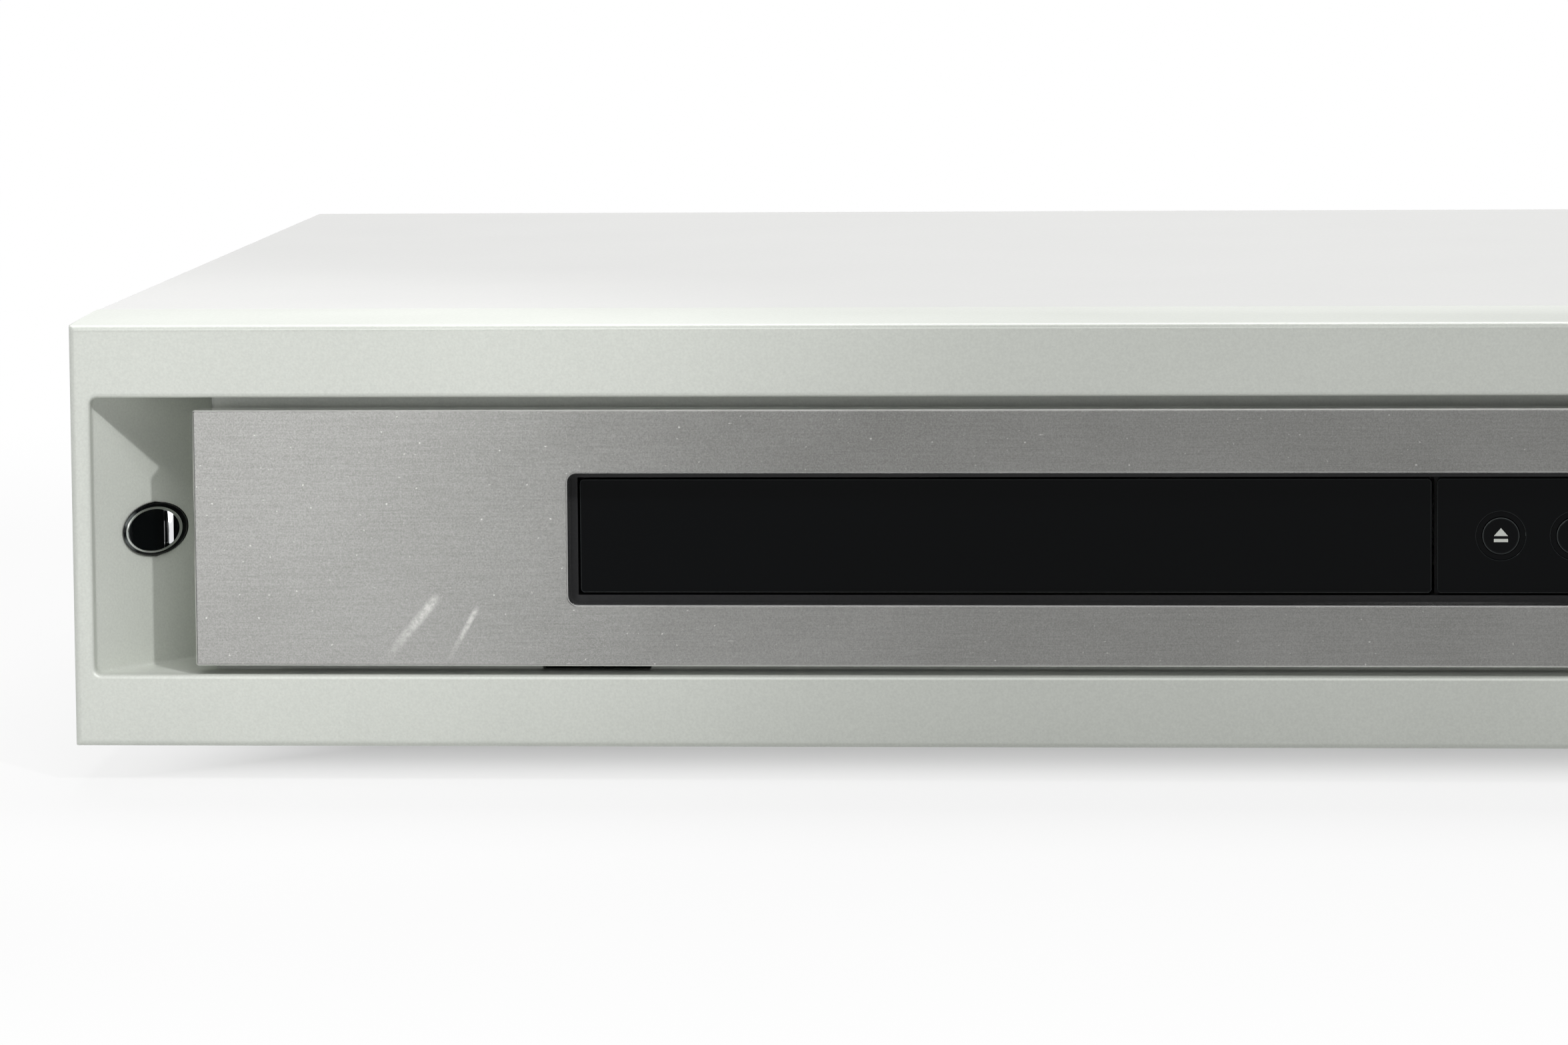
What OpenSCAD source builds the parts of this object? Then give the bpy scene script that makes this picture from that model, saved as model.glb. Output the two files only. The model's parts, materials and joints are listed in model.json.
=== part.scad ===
// Full-width disc player with a motor-driven tray. Lengths are in millimetres.
// X runs to the right seen from the front, Y to the back and Z up.
// The origin lies under the middle of the whole part, on the surface that the feet stand on.
// Modules work in depths behind the front face, and at_front() moves them into that frame.

/* [Cabinet] */
// Width across the side panels
case_w = 430; // [424:1:450]
// Height of the cabinet without its feet
case_h = 66.6; // [64:0.2:80]
// Depth from the front face to the outer face of the rear panel
case_d = 280; // [276:1:360]
// Thickness of the steel sheets
sheet_t = 1; // [0.8:0.1:1.2]
// Height of the feet
foot_h = 6; // [5:0.5:12]
// Radius of the feet
foot_r = 14; // [8:0.5:16]
// Distance of the feet from the sides and the rear
foot_inset = 42; // [32:1:60]
// Distance of the front feet from the front face
front_foot_d = 66; // [60:1:90]

/* [Front] */
// How far the front face is narrower than the cabinet at each side
front_taper = 1.2; // [0.6:0.1:2]
// Depth of the moulded front, back to the seam of the cover
bezel_d = 34; // [33:0.5:40]
// Wall of the moulded front
bezel_wall = 2.4; // [1.8:0.1:2.8]
// Radius of the front's outer edges
bezel_edge_r = 1.2; // [0.6:0.1:2]
// Flat band above and below the recess
band_h = 11.4; // [9:0.1:11.6]
// Distance from the front's side edge to the recess
recess_margin = 3.2; // [3:0.1:5]
// Depth of the step where the recess begins
recess_step = 2.5; // [1.5:0.1:4]
// Depth that the end wall of the recess gains per millimetre of width
recess_slope = 1.4; // [1:0.02:1.42]
// Radius of the corners of the recess
recess_corner_r = 1.2; // [0.6:0.1:2]

/* [Metal trim] */
// Open width beside the trim at each end of the recess
finger_w = 16.35; // [14:0.05:16.5]
// Gap above the trim
trim_gap_top = 1.9; // [1:0.1:3]
// Gap below the trim
trim_gap_bottom = 1.5; // [1:0.1:3]
// Thickness of the trim
trim_t = 5; // [4:0.1:6]
// How far the trim stands in front of the front face
trim_proud = 0.6; // [0:0.1:1.5]
// Radius of the trim's outer corners
trim_corner_r = 0.4; // [0.2:0.1:1]
// Radius of the window's corners
window_corner_r = 1.4; // [0.6:0.1:2]
// Black border seen around the two panels in the window
surround = 1.3; // [1:0.1:3]
// Radius of the panels' corners
panel_corner_r = 0.7; // [0.4:0.1:1]
// Width of the slot below the trim
slot_w = 17; // [10:0.5:20]

/* [Disc and tray] */
// Diameter of the disc
disc_d = 120; // [120:1:122]
// Width of the tray beside the disc at each side
tray_rim = 4; // [3.6:0.1:6]
// Height of the tray door and of the control panel
panel_h = 18; // [17.6:0.1:19]
// How far the door is wider than the tray at each side
panel_over = 2.7; // [2.6:0.1:4]
// Width of the tray between its door and the disc
tray_front = 7.8; // [7:0.1:12]
// Thickness of the tray door
door_t = 2.8; // [2:0.1:3]
// Thickness of the tray
tray_t = 6; // [5.4:0.1:6.2]
// Travel of the tray
tray_travel = 138; // [120:1:138]
// Radius of the slot in the tray that the turntable and the pickup reach through
tray_slot_r = 22; // [20:0.5:24]
// Module of the gears that drive the tray
gear_module = 1; // [0.9:0.05:1]
// Teeth of the drive gear, an even number
drive_teeth = 24; // [20:2:24]
// Teeth of the pinion on the belt wheel
pinion_teeth = 10; // [10:2:12]
// Radius of the motor's belt wheel
motor_wheel_r = 3.5; // [3:0.1:4]
// Radius of the large belt wheel
belt_wheel_r = 13; // [11:0.1:13]

/* [Disc drive] */
// Radius of the turntable
turntable_r = 14.5; // [12:0.1:15]
// Distance from the turntable's axis to the lens with the pickup at home
lens_home = 24; // [23:0.1:26]
// Travel of the pickup
sled_travel = 34; // [28:0.5:34]
// Radius of the pickup's guide rods
rod_r = 1.5; // [1:0.1:1.6]
// Angle that the drive's carrier tilts down through, in degrees
tilt_angle = 3.5; // [2:0.1:3.5]
// Travel of the cam that tilts the carrier
cam_travel = 18; // [14:0.5:18]
// Radius of the clamp above the disc
clamp_r = 13; // [10:0.1:14]

/* [Buttons] */
// Radius of the power button
power_r = 4.15; // [3.5:0.05:4.5]
// Distance of the power button from the recess's side edge
power_inset = 7.95; // [7:0.05:9]
// Travel of the power button
power_travel = 1.2; // [0.8:0.1:1.4]
// Radius of the control buttons
button_r = 2.9; // [2.5:0.05:3.2]
// Distance from the middle of the front to the first control button
button_first = 10.3; // [9:0.1:12]
// Spacing of the control buttons
button_pitch = 11.5; // [10.5:0.1:12.5]
// Travel of the control buttons
button_travel = 0.6; // [0.4:0.05:0.6]

/* [Sockets] */
// How far the round sockets stand out behind the rear panel
jack_l = 8; // [6:0.5:10]
// Outer radius of the round audio and video sockets
jack_r = 4.15; // [4:0.05:4.3]
// Spacing of the round sockets
jack_pitch = 14; // [13:0.5:16]
// Width of the opening of a television socket
scart_w = 44; // [43:0.5:46]
// Height of the opening of a television socket
scart_h = 11.6; // [11:0.1:12.5]

/* [Hidden] */

$fn = 64;
cut = 1;            // how far a cutter runs past the face that it opens
run_fit = 0.05;     // radial clearance of a shaft in its bore
button_fit = 0.1;   // radial clearance of a button in its hole
slide_fit = 0.3;    // clearance beside a sliding part
seat_fit = 0.2;     // clearance around a part that is set into another
part_gap = 0.1;     // gap between two parts that nearly touch
sink = 0.5;         // how far a joined shape reaches into its neighbour

// Outer sizes
base_z = foot_h;
top_z = foot_h + case_h;
front_y = trim_proud - (trim_proud + case_d + jack_l) / 2;
case_half = case_w / 2;
front_half = case_half - front_taper;
pan_z = base_z + sheet_t;       // upper face of the base sheet
cover_in = case_half - sheet_t; // inner face of the cover's sides
rear_in = case_d - sheet_t;     // inner face of the rear panel

// Recess and trim
recess_half = front_half - recess_margin;
recess_z = base_z + band_h;
recess_h = case_h - 2 * band_h;
trim_half = recess_half - finger_w;
trim_z = recess_z + trim_gap_bottom;
trim_h = recess_h - trim_gap_top - trim_gap_bottom;
trim_mid = trim_z + trim_h / 2;
trim_back = trim_t - trim_proud;

// Panels in the window
panel_gap = 0.78;
panel_drop = 0.2;        // how far the panels' middle lies below the trim's middle
panel_mid = trim_mid - panel_drop;
panel_z = panel_mid - panel_h / 2;
tray_w = disc_d + 2 * tray_rim;
panel_w = tray_w + 2 * panel_over;
tray_x = -(panel_gap + panel_w) / 2;
window_w = panel_gap + 2 * (panel_w + surround);
window_h = panel_h + 2 * surround;
panel_face = trim_back + seat_fit;
door_back = panel_face + door_t;
lens_t = 3;
lens_back = panel_face + lens_t;
platform_d = trim_back + 3;   // face of the raised middle of the recess
platform_inset = 1.95;        // how far the raised middle is narrower than the trim
platform_half = trim_half - platform_inset;
rib_w = 3;
rib_gap = 9;                  // distance of the ribs from the window and from the raised middle's end
rib_margin = 3;               // how far the ribs stay inside the trim's height
slot_h = 3;
slot_margin = 5;              // how far the slot reaches past the window's left end
front_skirt = 4;              // straight stretch of the front's sides at the cover
opening_w = panel_gap + 2 * (panel_w + slide_fit);
opening_h = panel_h + 2 * slide_fit;
opening_z = panel_z - slide_fit;

// Window frame
frame_wall = 1.6;
frame_flange = 4;        // how far the flange reaches past the opening
frame_l = 6.6;           // length of the frame behind its flange
frame_corner_r = 1;
frame_d = platform_d + frame_l;

// Loader: heights, counted down from the tray
tray_rise = 0.8;         // how far the tray's top lies above the panels' middle
tray_top = panel_mid + tray_rise;
tray_z = tray_top - tray_t;
loader_room = 18.9;      // height between the loader's floor and the tray
loader_floor_t = 2;
loader_z = tray_z - loader_room;
loader_floor = loader_z - loader_floor_t;
tray_float = 0.1;        // clearance between the tray and the ledges it slides on
ledge_t = 2;
ledge_z = tray_z - tray_float - ledge_t;
ledge_w = 3;
loader_wall = 2;
loader_rim = 6;          // floor outside the loader's walls
wall_rise = 7.5;
wall_top = tray_top + wall_rise;
guide_l = 8;             // length of the guides above the tray
guide_t = 1.5;
guide_w = 1.6;
mount_r = 5;             // posts that carry the loader
mount_inset = 10;
front_mount_gap = 8;     // from the moulded front to the first two posts
mount_over = 2;          // how far the posts' axes lie outside the tray

// Loader: depths
drive_gear_room = 16;    // from the loader's front edge to the gears
cam_room = 15.5;         // from the gears to the cam
loader_front = frame_d + 1;
disc_fit = 0.8;          // clearance around a disc in the tray
disc_recess = 2.2;
small_disc_r = 40;       // inner recess for a small disc
small_recess = 3.2;
disc_depth = door_back + tray_front + disc_d / 2 + disc_fit;
gear_depth = loader_front + drive_gear_room;
rack_run = 6;            // how far the rack still reaches past the gear with the tray out
rack_margin = 1;
tray_end = gear_depth + tray_travel + rack_run + rack_margin;
loader_end = tray_end + 4;
cam_depth = gear_depth + cam_room;
cam_t = 2.5;
cam_margin = 6;
cross_depth = cam_depth + cam_t + seat_fit;
cross_t = 1.5;
cross_rise = 4;          // how far the wall behind the cam stands above the carrier
carrier_gap = 2.3;
carrier_front = cross_depth + cross_t + carrier_gap;

// Tray drive, with places across given from the tray's middle line
drive_r = gear_module * drive_teeth / 2;
pinion_r = gear_module * pinion_teeth / 2;
rack_back = 3.6;
rack_inset = 3.8;       // distance of the rack's back from the tray's edge
rack_x = tray_w / 2 - rack_inset - rack_back;
drive_x = rack_x - drive_r;
belt_wheel_x = drive_x - drive_r - pinion_r;
motor_inset = 28;       // distance of the motor's axis from the tray's left edge
loader_motor_x = motor_inset - tray_w / 2;
axle_r = 1.5;
wheel_lift = 0.5;
wheel_z = loader_z + wheel_lift;
wheel_h = 3.5;
wheel_lip = 0.8;
wheel_gap = 0.6;
pinion_h = 5;
drive_z = wheel_z + wheel_h + wheel_gap;
drive_top = tray_z - 0.5;
rack_h = 3.4;           // how far the rack hangs below the tray, clear of the window's sill
belt_t = 1.2;
belt_h = 2;
motor_table_z = wheel_z + wheel_h + wheel_gap;
motor_table_t = 1.5;
motor_table_rim = 2;
motor_table_leg = 10;
motor_r = 12;
motor_shaft_r = 1;

// Carrier, which holds the spindle motor and the pickup and tilts about its rear pins
carrier_lift = 10;
carrier_z = loader_z + carrier_lift;
carrier_t = 3;
carrier_top = carrier_z + carrier_t;
carrier_half = 36;
carrier_tail = 22;
carrier_end = disc_depth + lens_home + sled_travel + carrier_tail;
floor_hole_half = carrier_half + 2.2;
pivot_z = carrier_z + carrier_t / 2;
pin_r = 1.5;
pin_l = 5;
bush_wall = 1;
ear_half = 6;           // half length of the posts that hold the carrier's pins
cam_z = loader_z + seat_fit;
cam_drop = (carrier_end - cam_depth - cam_t / 2) * sin(tilt_angle);
rod_x = 14;
rod_lift = 2.5;
rod_z = carrier_top + rod_lift;
rod_block_half = 2.2;
rod_front = disc_depth + turntable_r - 0.5;
rod_end = carrier_end - 3;
sled_half = 17;
sled_l = 20;
lens_inset = 8;         // distance of the lens from the pickup's front edge
sled_gap = 0.6;         // clearance beside the pickup in the carrier's opening
sled_front = disc_depth + lens_home - lens_inset;
sled_z = carrier_z + 1;
sled_h = 9;
sled_module = 0.5;
sled_teeth = 24;
sled_gear_r = sled_module * sled_teeth / 2;
sled_rack_w = 2.5;
sled_rack_x = -sled_half - sled_rack_w;
sled_gear_x = sled_rack_x - sled_gear_r;
sled_gear_depth = disc_depth + sled_travel;
sled_gear_z = carrier_top + 1;
sled_gear_h = 3;
sled_motor_h = 8;
sled_motor_r = 7;
sled_shaft_r = 1;
lens_r = 4;
lens_hole_r = lens_r + 0.5;
lens_floor = 2;         // floor of the pickup below the lens
lens_top = tray_top - 0.4;
spindle_r = 13;
spindle_h = 6;
spindle_shaft_r = 1.5;
table_z = tray_top + 0.2;
table_t = 1.5;
table_neck_r = 5;
hub_r = 7.4;
hub_h = 1.3;

// Clamp
bridge_t = 1.5;
bridge_w = 46;
bridge_gap = 0.6;
puck_z = table_z + table_t + hub_h + 0.4;
puck_flange = 4;
puck_flange_t = 2;

// Buttons
button_x = [for (i = [0:4]) button_first + i * button_pitch];
button_flange_r = button_r + 0.7;
button_flange_t = 1;
dish_r = button_r + 0.9;
dish_depth = 0.35;
button_proud = 0.1;
stem_r = 1.4;
board_t = 1.6;
front_board_d = 16;
switch_w = 6;
switch_t = 3;
plunger_r = 1.7;
plunger_l = 0.7;
stem_end = front_board_d - switch_t - plunger_l - button_travel - part_gap;
display_gap = 10;       // from the last button's axis to the display
display_margin = 8;
display_x = button_x[4] + display_gap;
display_w = panel_gap / 2 + panel_w - display_x - display_margin;
display_h = 13;
display_rim = 1;        // edge of the display's body around its glass
boss_hole_r = 1;
boss_inset = 7;
boss_gap = 1.2;         // between the bosses and the window frame
board_rim = 4;          // edge of the front board around its screw holes

// Power button, a round rod whose face is cut parallel to the sloping wall
power_x = -(recess_half - power_inset);
power_lift = 1.6;        // how far the face stands in front of the wall, measured in depth
power_face = recess_step + recess_slope * power_inset - power_lift;
power_guide_r = power_r + 1.6;
power_guide_margin = 8;
power_guide_end = bezel_d - power_guide_margin;
power_collar_r = power_r + 0.7;
power_stem_r = 1.8;
power_stem_l = 6;
power_collar_t = 1;
power_collar_d = power_guide_end + slide_fit;
power_switch_d = power_collar_d + power_collar_t + power_stem_l;
power_switch_half = 6;
power_switch_l = 11;
power_switch_foot_l = 8;
power_switch_foot_t = 2;

// Cabinet
pan_flange_h = 14;
pan_inset = 12;         // how far the base's tongue is narrower than the base
cover_lip_h = 9;
cover_screw_drop = 5;
cover_screw_inset = 40;
vent_w = 3;
side_vent_h = 14;
rear_vent_h = 18;
screw_r = 1.5;
screw_head_r = 3;
screw_head_h = 1.8;
screw_l = 5;
screw_hole_r = screw_r + 0.1;

// Circuit boards
board_lift = 6;
board_z = pan_z + board_lift;
board_top = board_z + board_t;
post_r = 3;
post_inset = 6;
rear_post_inset = 56;   // the rear posts stand in front of the sockets
post_pin_r = 1.4;
post_hole_r = 1.6;
post_head_r = 2.8;
post_head_h = 1.6;
board_side = 6;         // distance of the boards from the cover
board_gap = 10;         // distance of the boards from the loader
board_rear = 3;         // distance of the boards from the rear panel
board_front = 70;
power_board_x = -(cover_in - board_side);
power_board_w = tray_x - tray_w / 2 - board_gap - power_board_x;
main_board_x = tray_x + tray_w / 2 + board_gap + 5;
main_board_w = cover_in - board_side - main_board_x;
board_l = rear_in - board_rear - board_front;
heat_sink_inset = 14;
heat_sink_h = 30;
heat_sink_t = 2.5;
fin_count = 6;
fin_l = 11.5;
fin_t = 1.2;
parts_front = 32;       // distance of the first chips from the front edge of their board
parts_pitch = 30;       // distance between the rows of chips
parts_x = [24, 75, 110, 150];
chip = [14, 20, 1.6];
big_chip = [28, 28, 2.4];
socket_strip = [30, 8, 9];
shield = [18, 12, 6];
transformer_at = 70;
core = [28, 32, 5];
coil = [32, 26, 26];
large_cap = [9, 26];    // radius and height
middle_cap = [6, 20];
small_cap = [5, 16];
cap_pitch = 12;
large_caps_at = 125;
small_caps_at = 48;

// Rear sockets
socket_z = board_top + 1;
socket_gap = 8;         // distance between the groups of sockets
inlet_inset = 22;       // distance of the mains socket from the board's side edge
inlet_x = power_board_x + inlet_inset;
inlet_w = 20;
inlet_h = 12;
inlet_depth = 14;
inlet_pin_pitch = 8.6;
inlet_pin_r = 1.2;
jack_count = 5;
jack_x = main_board_x + socket_gap;
tv_x = jack_x + jack_count * jack_pitch + socket_gap;
tv_body_w = scart_w + 6;
tv_body_h = scart_h + 5;
tv_body_l = 20;
tv_pocket = 9;
tv_lip = 2;
tv_count = 2;
tv_strip = [1.2, 3];      // heights of the contact strip above the opening's lower edge
tv_strip_margin = 3;
jack_lift = 6;
jack_z = [socket_z + jack_lift, socket_z + jack_lift + jack_pitch];
jack_block_l = 12;
jack_hole_r = 1.65;
tuner_w = 34;
tuner_h = 26;
tuner_l = 46;
tuner_x = main_board_x + main_board_w - tuner_w - 3;
tuner_r = 4.75;
tuner_hole_r = 1.9;
tuner_pitch = 13;
tuner_z = [board_top + 7, board_top + 7 + tuner_pitch];
socket_wall = 1;          // floor of a round socket's hole

// Flat cable
cable_w = 22;
cable_t = 0.4;
cable_x = display_x + (display_w - cable_w) / 2;
cable_rise = 16;
cable_run = 6;

// ---- helpers ----

module at_front() {
  translate([0, front_y, 0]) children();
}

// Moves into the frame of the tray's middle line.
module at_tray() {
  at_front() translate([tray_x, 0, 0]) children();
}

module box(x, y, z) {
  translate([x[0], y[0], z[0]]) cube([x[1] - x[0], y[1] - y[0], z[1] - z[0]]);
}

module post(x, y, z, r) {
  translate([x, y, z[0]]) cylinder(r = r, h = z[1] - z[0]);
}

// A round bar along Y, from one depth to another.
module bar(x, z, y, r) {
  translate([x, y[0], z]) rotate([-90, 0, 0]) cylinder(r = r, h = y[1] - y[0]);
}

module rounded_rect(w, h, r) {
  translate([r, 0]) square([w - 2 * r, h]);
  translate([0, r]) square([w, h - 2 * r]);
  for (x = [r, w - r], y = [r, h - r]) translate([x, y]) circle(r);
}

// A plate that faces the front, with rounded corners, from one depth to another.
module plate(x, z, y, r) {
  translate([x[0], y[1], z[0]]) rotate([90, 0, 0])
    linear_extrude(y[1] - y[0]) rounded_rect(x[1] - x[0], z[1] - z[0], r);
}

// A flat pattern in X and Y, raised between two heights.
module raised(z) {
  translate([0, 0, z[0]]) linear_extrude(z[1] - z[0]) children();
}

module mirrored_x() {
  children();
  mirror([1, 0, 0]) children();
}

// Half width of a straight tooth at a height above the pitch line, with some backlash.
function tooth_half(m, above) = m * (PI / 4 - 0.12) - above * tan(20);

module tooth_2d(m, pitch_at) {
  root = -1.15 * m;
  tip = 0.75 * m;
  polygon([
    [pitch_at + root - 0.3 * m, -tooth_half(m, root)],
    [pitch_at + tip, -tooth_half(m, tip)],
    [pitch_at + tip, tooth_half(m, tip)],
    [pitch_at + root - 0.3 * m, tooth_half(m, root)],
  ]);
}

module gear_2d(m, teeth, turn) {
  pitch_r = m * teeth / 2;
  circle(r = pitch_r - 1.15 * m);
  for (i = [0:teeth - 1]) rotate(turn + i * 360 / teeth) tooth_2d(m, pitch_r);
}

// A rack along Y with its teeth towards -X (side = -1). A gap lies at depth mesh.
module rack_2d(m, pitch_x, back, y, mesh) {
  pitch = PI * m;
  first = ceil((y[0] - mesh) / pitch) + 0.5;
  last = floor((y[1] - mesh) / pitch) - 0.5;
  translate([pitch_x + 1.15 * m, y[0]]) square([back - 1.15 * m, y[1] - y[0]]);
  for (i = [first:last]) {
    translate([pitch_x, mesh + i * pitch]) mirror([1, 0]) tooth_2d(m, 0);
  }
}

// The outline around two wheels that lie side by side.
module around_wheels(x1, r1, x2, r2) {
  hull() {
    translate([x1, 0]) circle(r1);
    translate([x2, 0]) circle(r2);
  }
}

// ---- front ----

function wall_depth(x_from_edge) = recess_step + recess_slope * x_from_edge;

// Plan of the front's outside, which widens from the front face to the cover.
module bezel_plan(inset, y) {
  r = bezel_edge_r;
  w = front_half - inset;
  v = case_half - inset;
  polygon([
    [-w + r, y[0]], [w - r, y[0]], [w, y[0] + r], [v, bezel_d - front_skirt], [v, y[1]],
    [-v, y[1]], [-v, bezel_d - front_skirt], [-w, y[0] + r],
  ]);
  for (x = [-w + r, w - r]) translate([x, y[0] + r]) circle(r);
}

// Side view of the front's outside, with its upper and lower front edges rounded.
module bezel_side() {
  r = bezel_edge_r;
  translate([r, base_z]) square([bezel_d - r, case_h]);
  translate([0, base_z + r]) square([bezel_d, case_h - 2 * r]);
  for (z = [base_z + r, top_z - r]) translate([r, z]) circle(r);
}

// Plan of the recess, grown by a wall. The end walls slope inwards to the raised middle.
module recess_plan(grow, front) {
  far = wall_depth(recess_half - platform_half);
  lean = grow * sqrt(1 + recess_slope * recess_slope);
  start = recess_step - recess_slope * grow + lean;
  cap_x = recess_half - (far + grow - lean - recess_step) / recess_slope;
  right = [
    [recess_half + grow, front], [recess_half + grow, start], [cap_x, far + grow],
    [platform_half - grow, far + grow], [platform_half - grow, platform_d + grow],
  ];
  left = [for (i = [len(right) - 1:-1:0]) [-right[i][0], right[i][1]]];
  polygon(concat(right, left));
}

module recess_hollow() {
  difference() {
    raised([recess_z, recess_z + recess_h]) recess_plan(0, -cut);
    // the sharp corners at both ends are filled to their radius
    mirrored_x() difference() {
      box([recess_half - recess_corner_r, recess_half + cut], [-2 * cut, bezel_d],
          [recess_z - cut, recess_z + recess_h + cut]);
      plate([-recess_half, recess_half], [recess_z, recess_z + recess_h],
            [-3 * cut, bezel_d + cut], recess_corner_r);
    }
  }
}

module front_shell() {
  intersection() {
    raised([base_z, top_z]) bezel_plan(0, [0, bezel_d]);
    translate([-case_half, 0, 0]) rotate([90, 0, 90]) linear_extrude(case_w) bezel_side();
  }
}

module front_bezel() color("silver") at_front() {
  boss_l = front_board_d - platform_d - bezel_wall;
  difference() {
    union() {
      difference() {
        front_shell();
        raised([base_z + bezel_wall, top_z - bezel_wall])
          bezel_plan(bezel_wall, [bezel_wall, bezel_d + cut]);
      }
      raised([recess_z - bezel_wall, recess_z + recess_h + bezel_wall])
        recess_plan(bezel_wall, bezel_wall / 2);
      bar(power_x, trim_mid, [wall_depth(power_inset), power_guide_end], power_guide_r);
      for (x = board_boss_x(), z = board_boss_z())
        bar(x, z, [platform_d + bezel_wall - sink, platform_d + bezel_wall + boss_l], post_r);
    }
    recess_hollow();
    box([-opening_w / 2 - frame_wall - seat_fit, opening_w / 2 + frame_wall + seat_fit],
        [platform_d - cut, bezel_d], [opening_z - frame_wall - seat_fit,
        opening_z + opening_h + frame_wall + seat_fit]);
    bar(power_x, trim_mid, [0, power_guide_end + cut], power_r + button_fit);
    for (x = board_boss_x(), z = board_boss_z())
      bar(x, z, [platform_d + cut, front_board_d + cut], boss_hole_r);
    trim_slot();
  }
  trim_ribs();
}

// The slot in the lower edge of the raised middle, below the window's left end.
module trim_slot() {
  x = -window_w / 2 - slot_margin;
  box([x, x + slot_w], [platform_d - cut, bezel_d], [recess_z, recess_z + slot_h]);
}

// Ribs on the raised middle that carry the back of the trim.
module trim_ribs() mirrored_x() {
  for (x = [window_w / 2 + rib_gap, platform_half - rib_gap - rib_w])
    box([x, x + rib_w], [trim_back, platform_d], [trim_z + rib_margin, trim_z + trim_h - rib_margin]);
}

module front_trim() color("gainsboro") at_front() difference() {
  plate([-trim_half, trim_half], [trim_z, trim_z + trim_h], [-trim_proud, trim_back], trim_corner_r);
  plate([-window_w / 2, window_w / 2], [panel_mid - window_h / 2, panel_mid + window_h / 2],
        [-trim_proud - cut, trim_back + cut], window_corner_r);
}

module window_frame() color([0.07, 0.07, 0.07]) at_front() {
  o = opening_w / 2;
  z0 = opening_z;
  z1 = opening_z + opening_h;
  difference() {
    union() {
      plate([-o - frame_flange, o + frame_flange], [z0 - frame_flange, z1 + frame_flange],
            [trim_back, platform_d], frame_corner_r);
      box([-o - frame_wall, o + frame_wall], [platform_d, frame_d], [z0 - frame_wall, z1 + frame_wall]);
    }
    box([-o, 0], [trim_back - cut, frame_d + cut], [z0, z1]);
    box([0, o], [trim_back - cut, lens_back], [z0, z1]);
    box([frame_wall, o], [lens_back + frame_wall, frame_d + cut], [z0, z1]);
    for (x = button_x) bar(x, panel_mid, [lens_back - cut, frame_d], button_flange_r + slide_fit);
    box([display_x, display_x + display_w], [lens_back - cut, frame_d],
        [panel_mid - display_h / 2, panel_mid + display_h / 2]);
  }
}

module control_lens() color([0.05, 0.05, 0.06]) at_front() difference() {
  plate([panel_gap / 2, panel_gap / 2 + panel_w], [panel_z, panel_z + panel_h],
        [panel_face, lens_back], panel_corner_r);
  for (x = button_x) {
    bar(x, panel_mid, [panel_face - cut, lens_back + cut], button_r + button_fit);
    bar(x, panel_mid, [panel_face - cut, panel_face + dish_depth], dish_r);
  }
  box([display_x, display_x + display_w], [lens_back - lens_t / 2, lens_back + cut],
      [panel_mid - display_h / 2, panel_mid + display_h / 2]);
}

module display_module() color([0.15, 0.2, 0.2]) at_front() {
  glass_d = lens_back + frame_wall;
  box([display_x + seat_fit, display_x + display_w - seat_fit], [lens_back, glass_d],
      [panel_mid - display_h / 2 + seat_fit, panel_mid + display_h / 2 - seat_fit]);
  box([display_x + seat_fit, display_x + display_w - seat_fit], [glass_d, front_board_d],
      [panel_mid - display_h / 2 - display_rim, panel_mid + display_h / 2 + display_rim]);
}

function board_boss_x() = [boss_inset, panel_w - boss_inset];
function board_boss_z() = [opening_z - frame_wall - post_r - boss_gap,
                           opening_z + opening_h + frame_wall + post_r + boss_gap];

module front_board() color("darkgreen") at_front() difference() {
  x = board_boss_x();
  z = board_boss_z();
  box([x[0] - board_rim, x[1] + board_rim], [front_board_d, front_board_d + board_t],
      [z[0] - board_rim, z[1] + board_rim]);
  for (bx = x, bz = z)
    bar(bx, bz, [front_board_d - cut, front_board_d + board_t + cut], boss_hole_r + seat_fit);
}

module switch_set() color("dimgray") at_front() for (x = button_x) {
  box([x - switch_w / 2, x + switch_w / 2], [front_board_d - switch_t, front_board_d],
      [panel_mid - switch_w / 2, panel_mid + switch_w / 2]);
  bar(x, panel_mid, [front_board_d - switch_t - plunger_l, front_board_d - switch_t], plunger_r);
}

module control_button(i) color([0.12, 0.12, 0.13]) at_front() {
  x = button_x[i];
  flange_d = lens_back + part_gap;
  bar(x, panel_mid, [panel_face - button_proud, flange_d], button_r);
  bar(x, panel_mid, [flange_d, flange_d + button_flange_t], button_flange_r);
  bar(x, panel_mid, [flange_d + button_flange_t, stem_end], stem_r);
}

module eject_button() control_button(0);
module play_button() control_button(1);
module pause_button() control_button(2);
module stop_button() control_button(3);
module record_button() control_button(4);

module power_button() color("lightgray") at_front() {
  reach = power_r + cut;
  difference() {
    bar(power_x, trim_mid, [0, power_collar_d], power_r);
    // everything in front of the sloping face
    raised([trim_mid - reach, trim_mid + reach]) polygon([
      [power_x - reach, -cut], [power_x + reach, -cut],
      [power_x + reach, power_face + recess_slope * reach],
      [power_x - reach, power_face - recess_slope * reach],
    ]);
  }
  bar(power_x, trim_mid, [power_collar_d, power_collar_d + power_collar_t], power_collar_r);
  bar(power_x, trim_mid, [power_collar_d + power_collar_t, power_switch_d - power_travel - part_gap],
      power_stem_r);
}

module power_switch() color("dimgray") at_front() {
  half = power_switch_half;
  x = [power_x - half - 1, power_x + half + 1];
  board_d = power_switch_d + power_switch_l;
  box([power_x - half, power_x + half], [power_switch_d, board_d], [trim_mid - half, trim_mid + half]);
  box(x, [board_d, board_d + board_t], [pan_z, trim_mid + half + 2]);
  box(x, [board_d - power_switch_foot_l, board_d], [pan_z, pan_z + power_switch_foot_t]);
}

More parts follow.
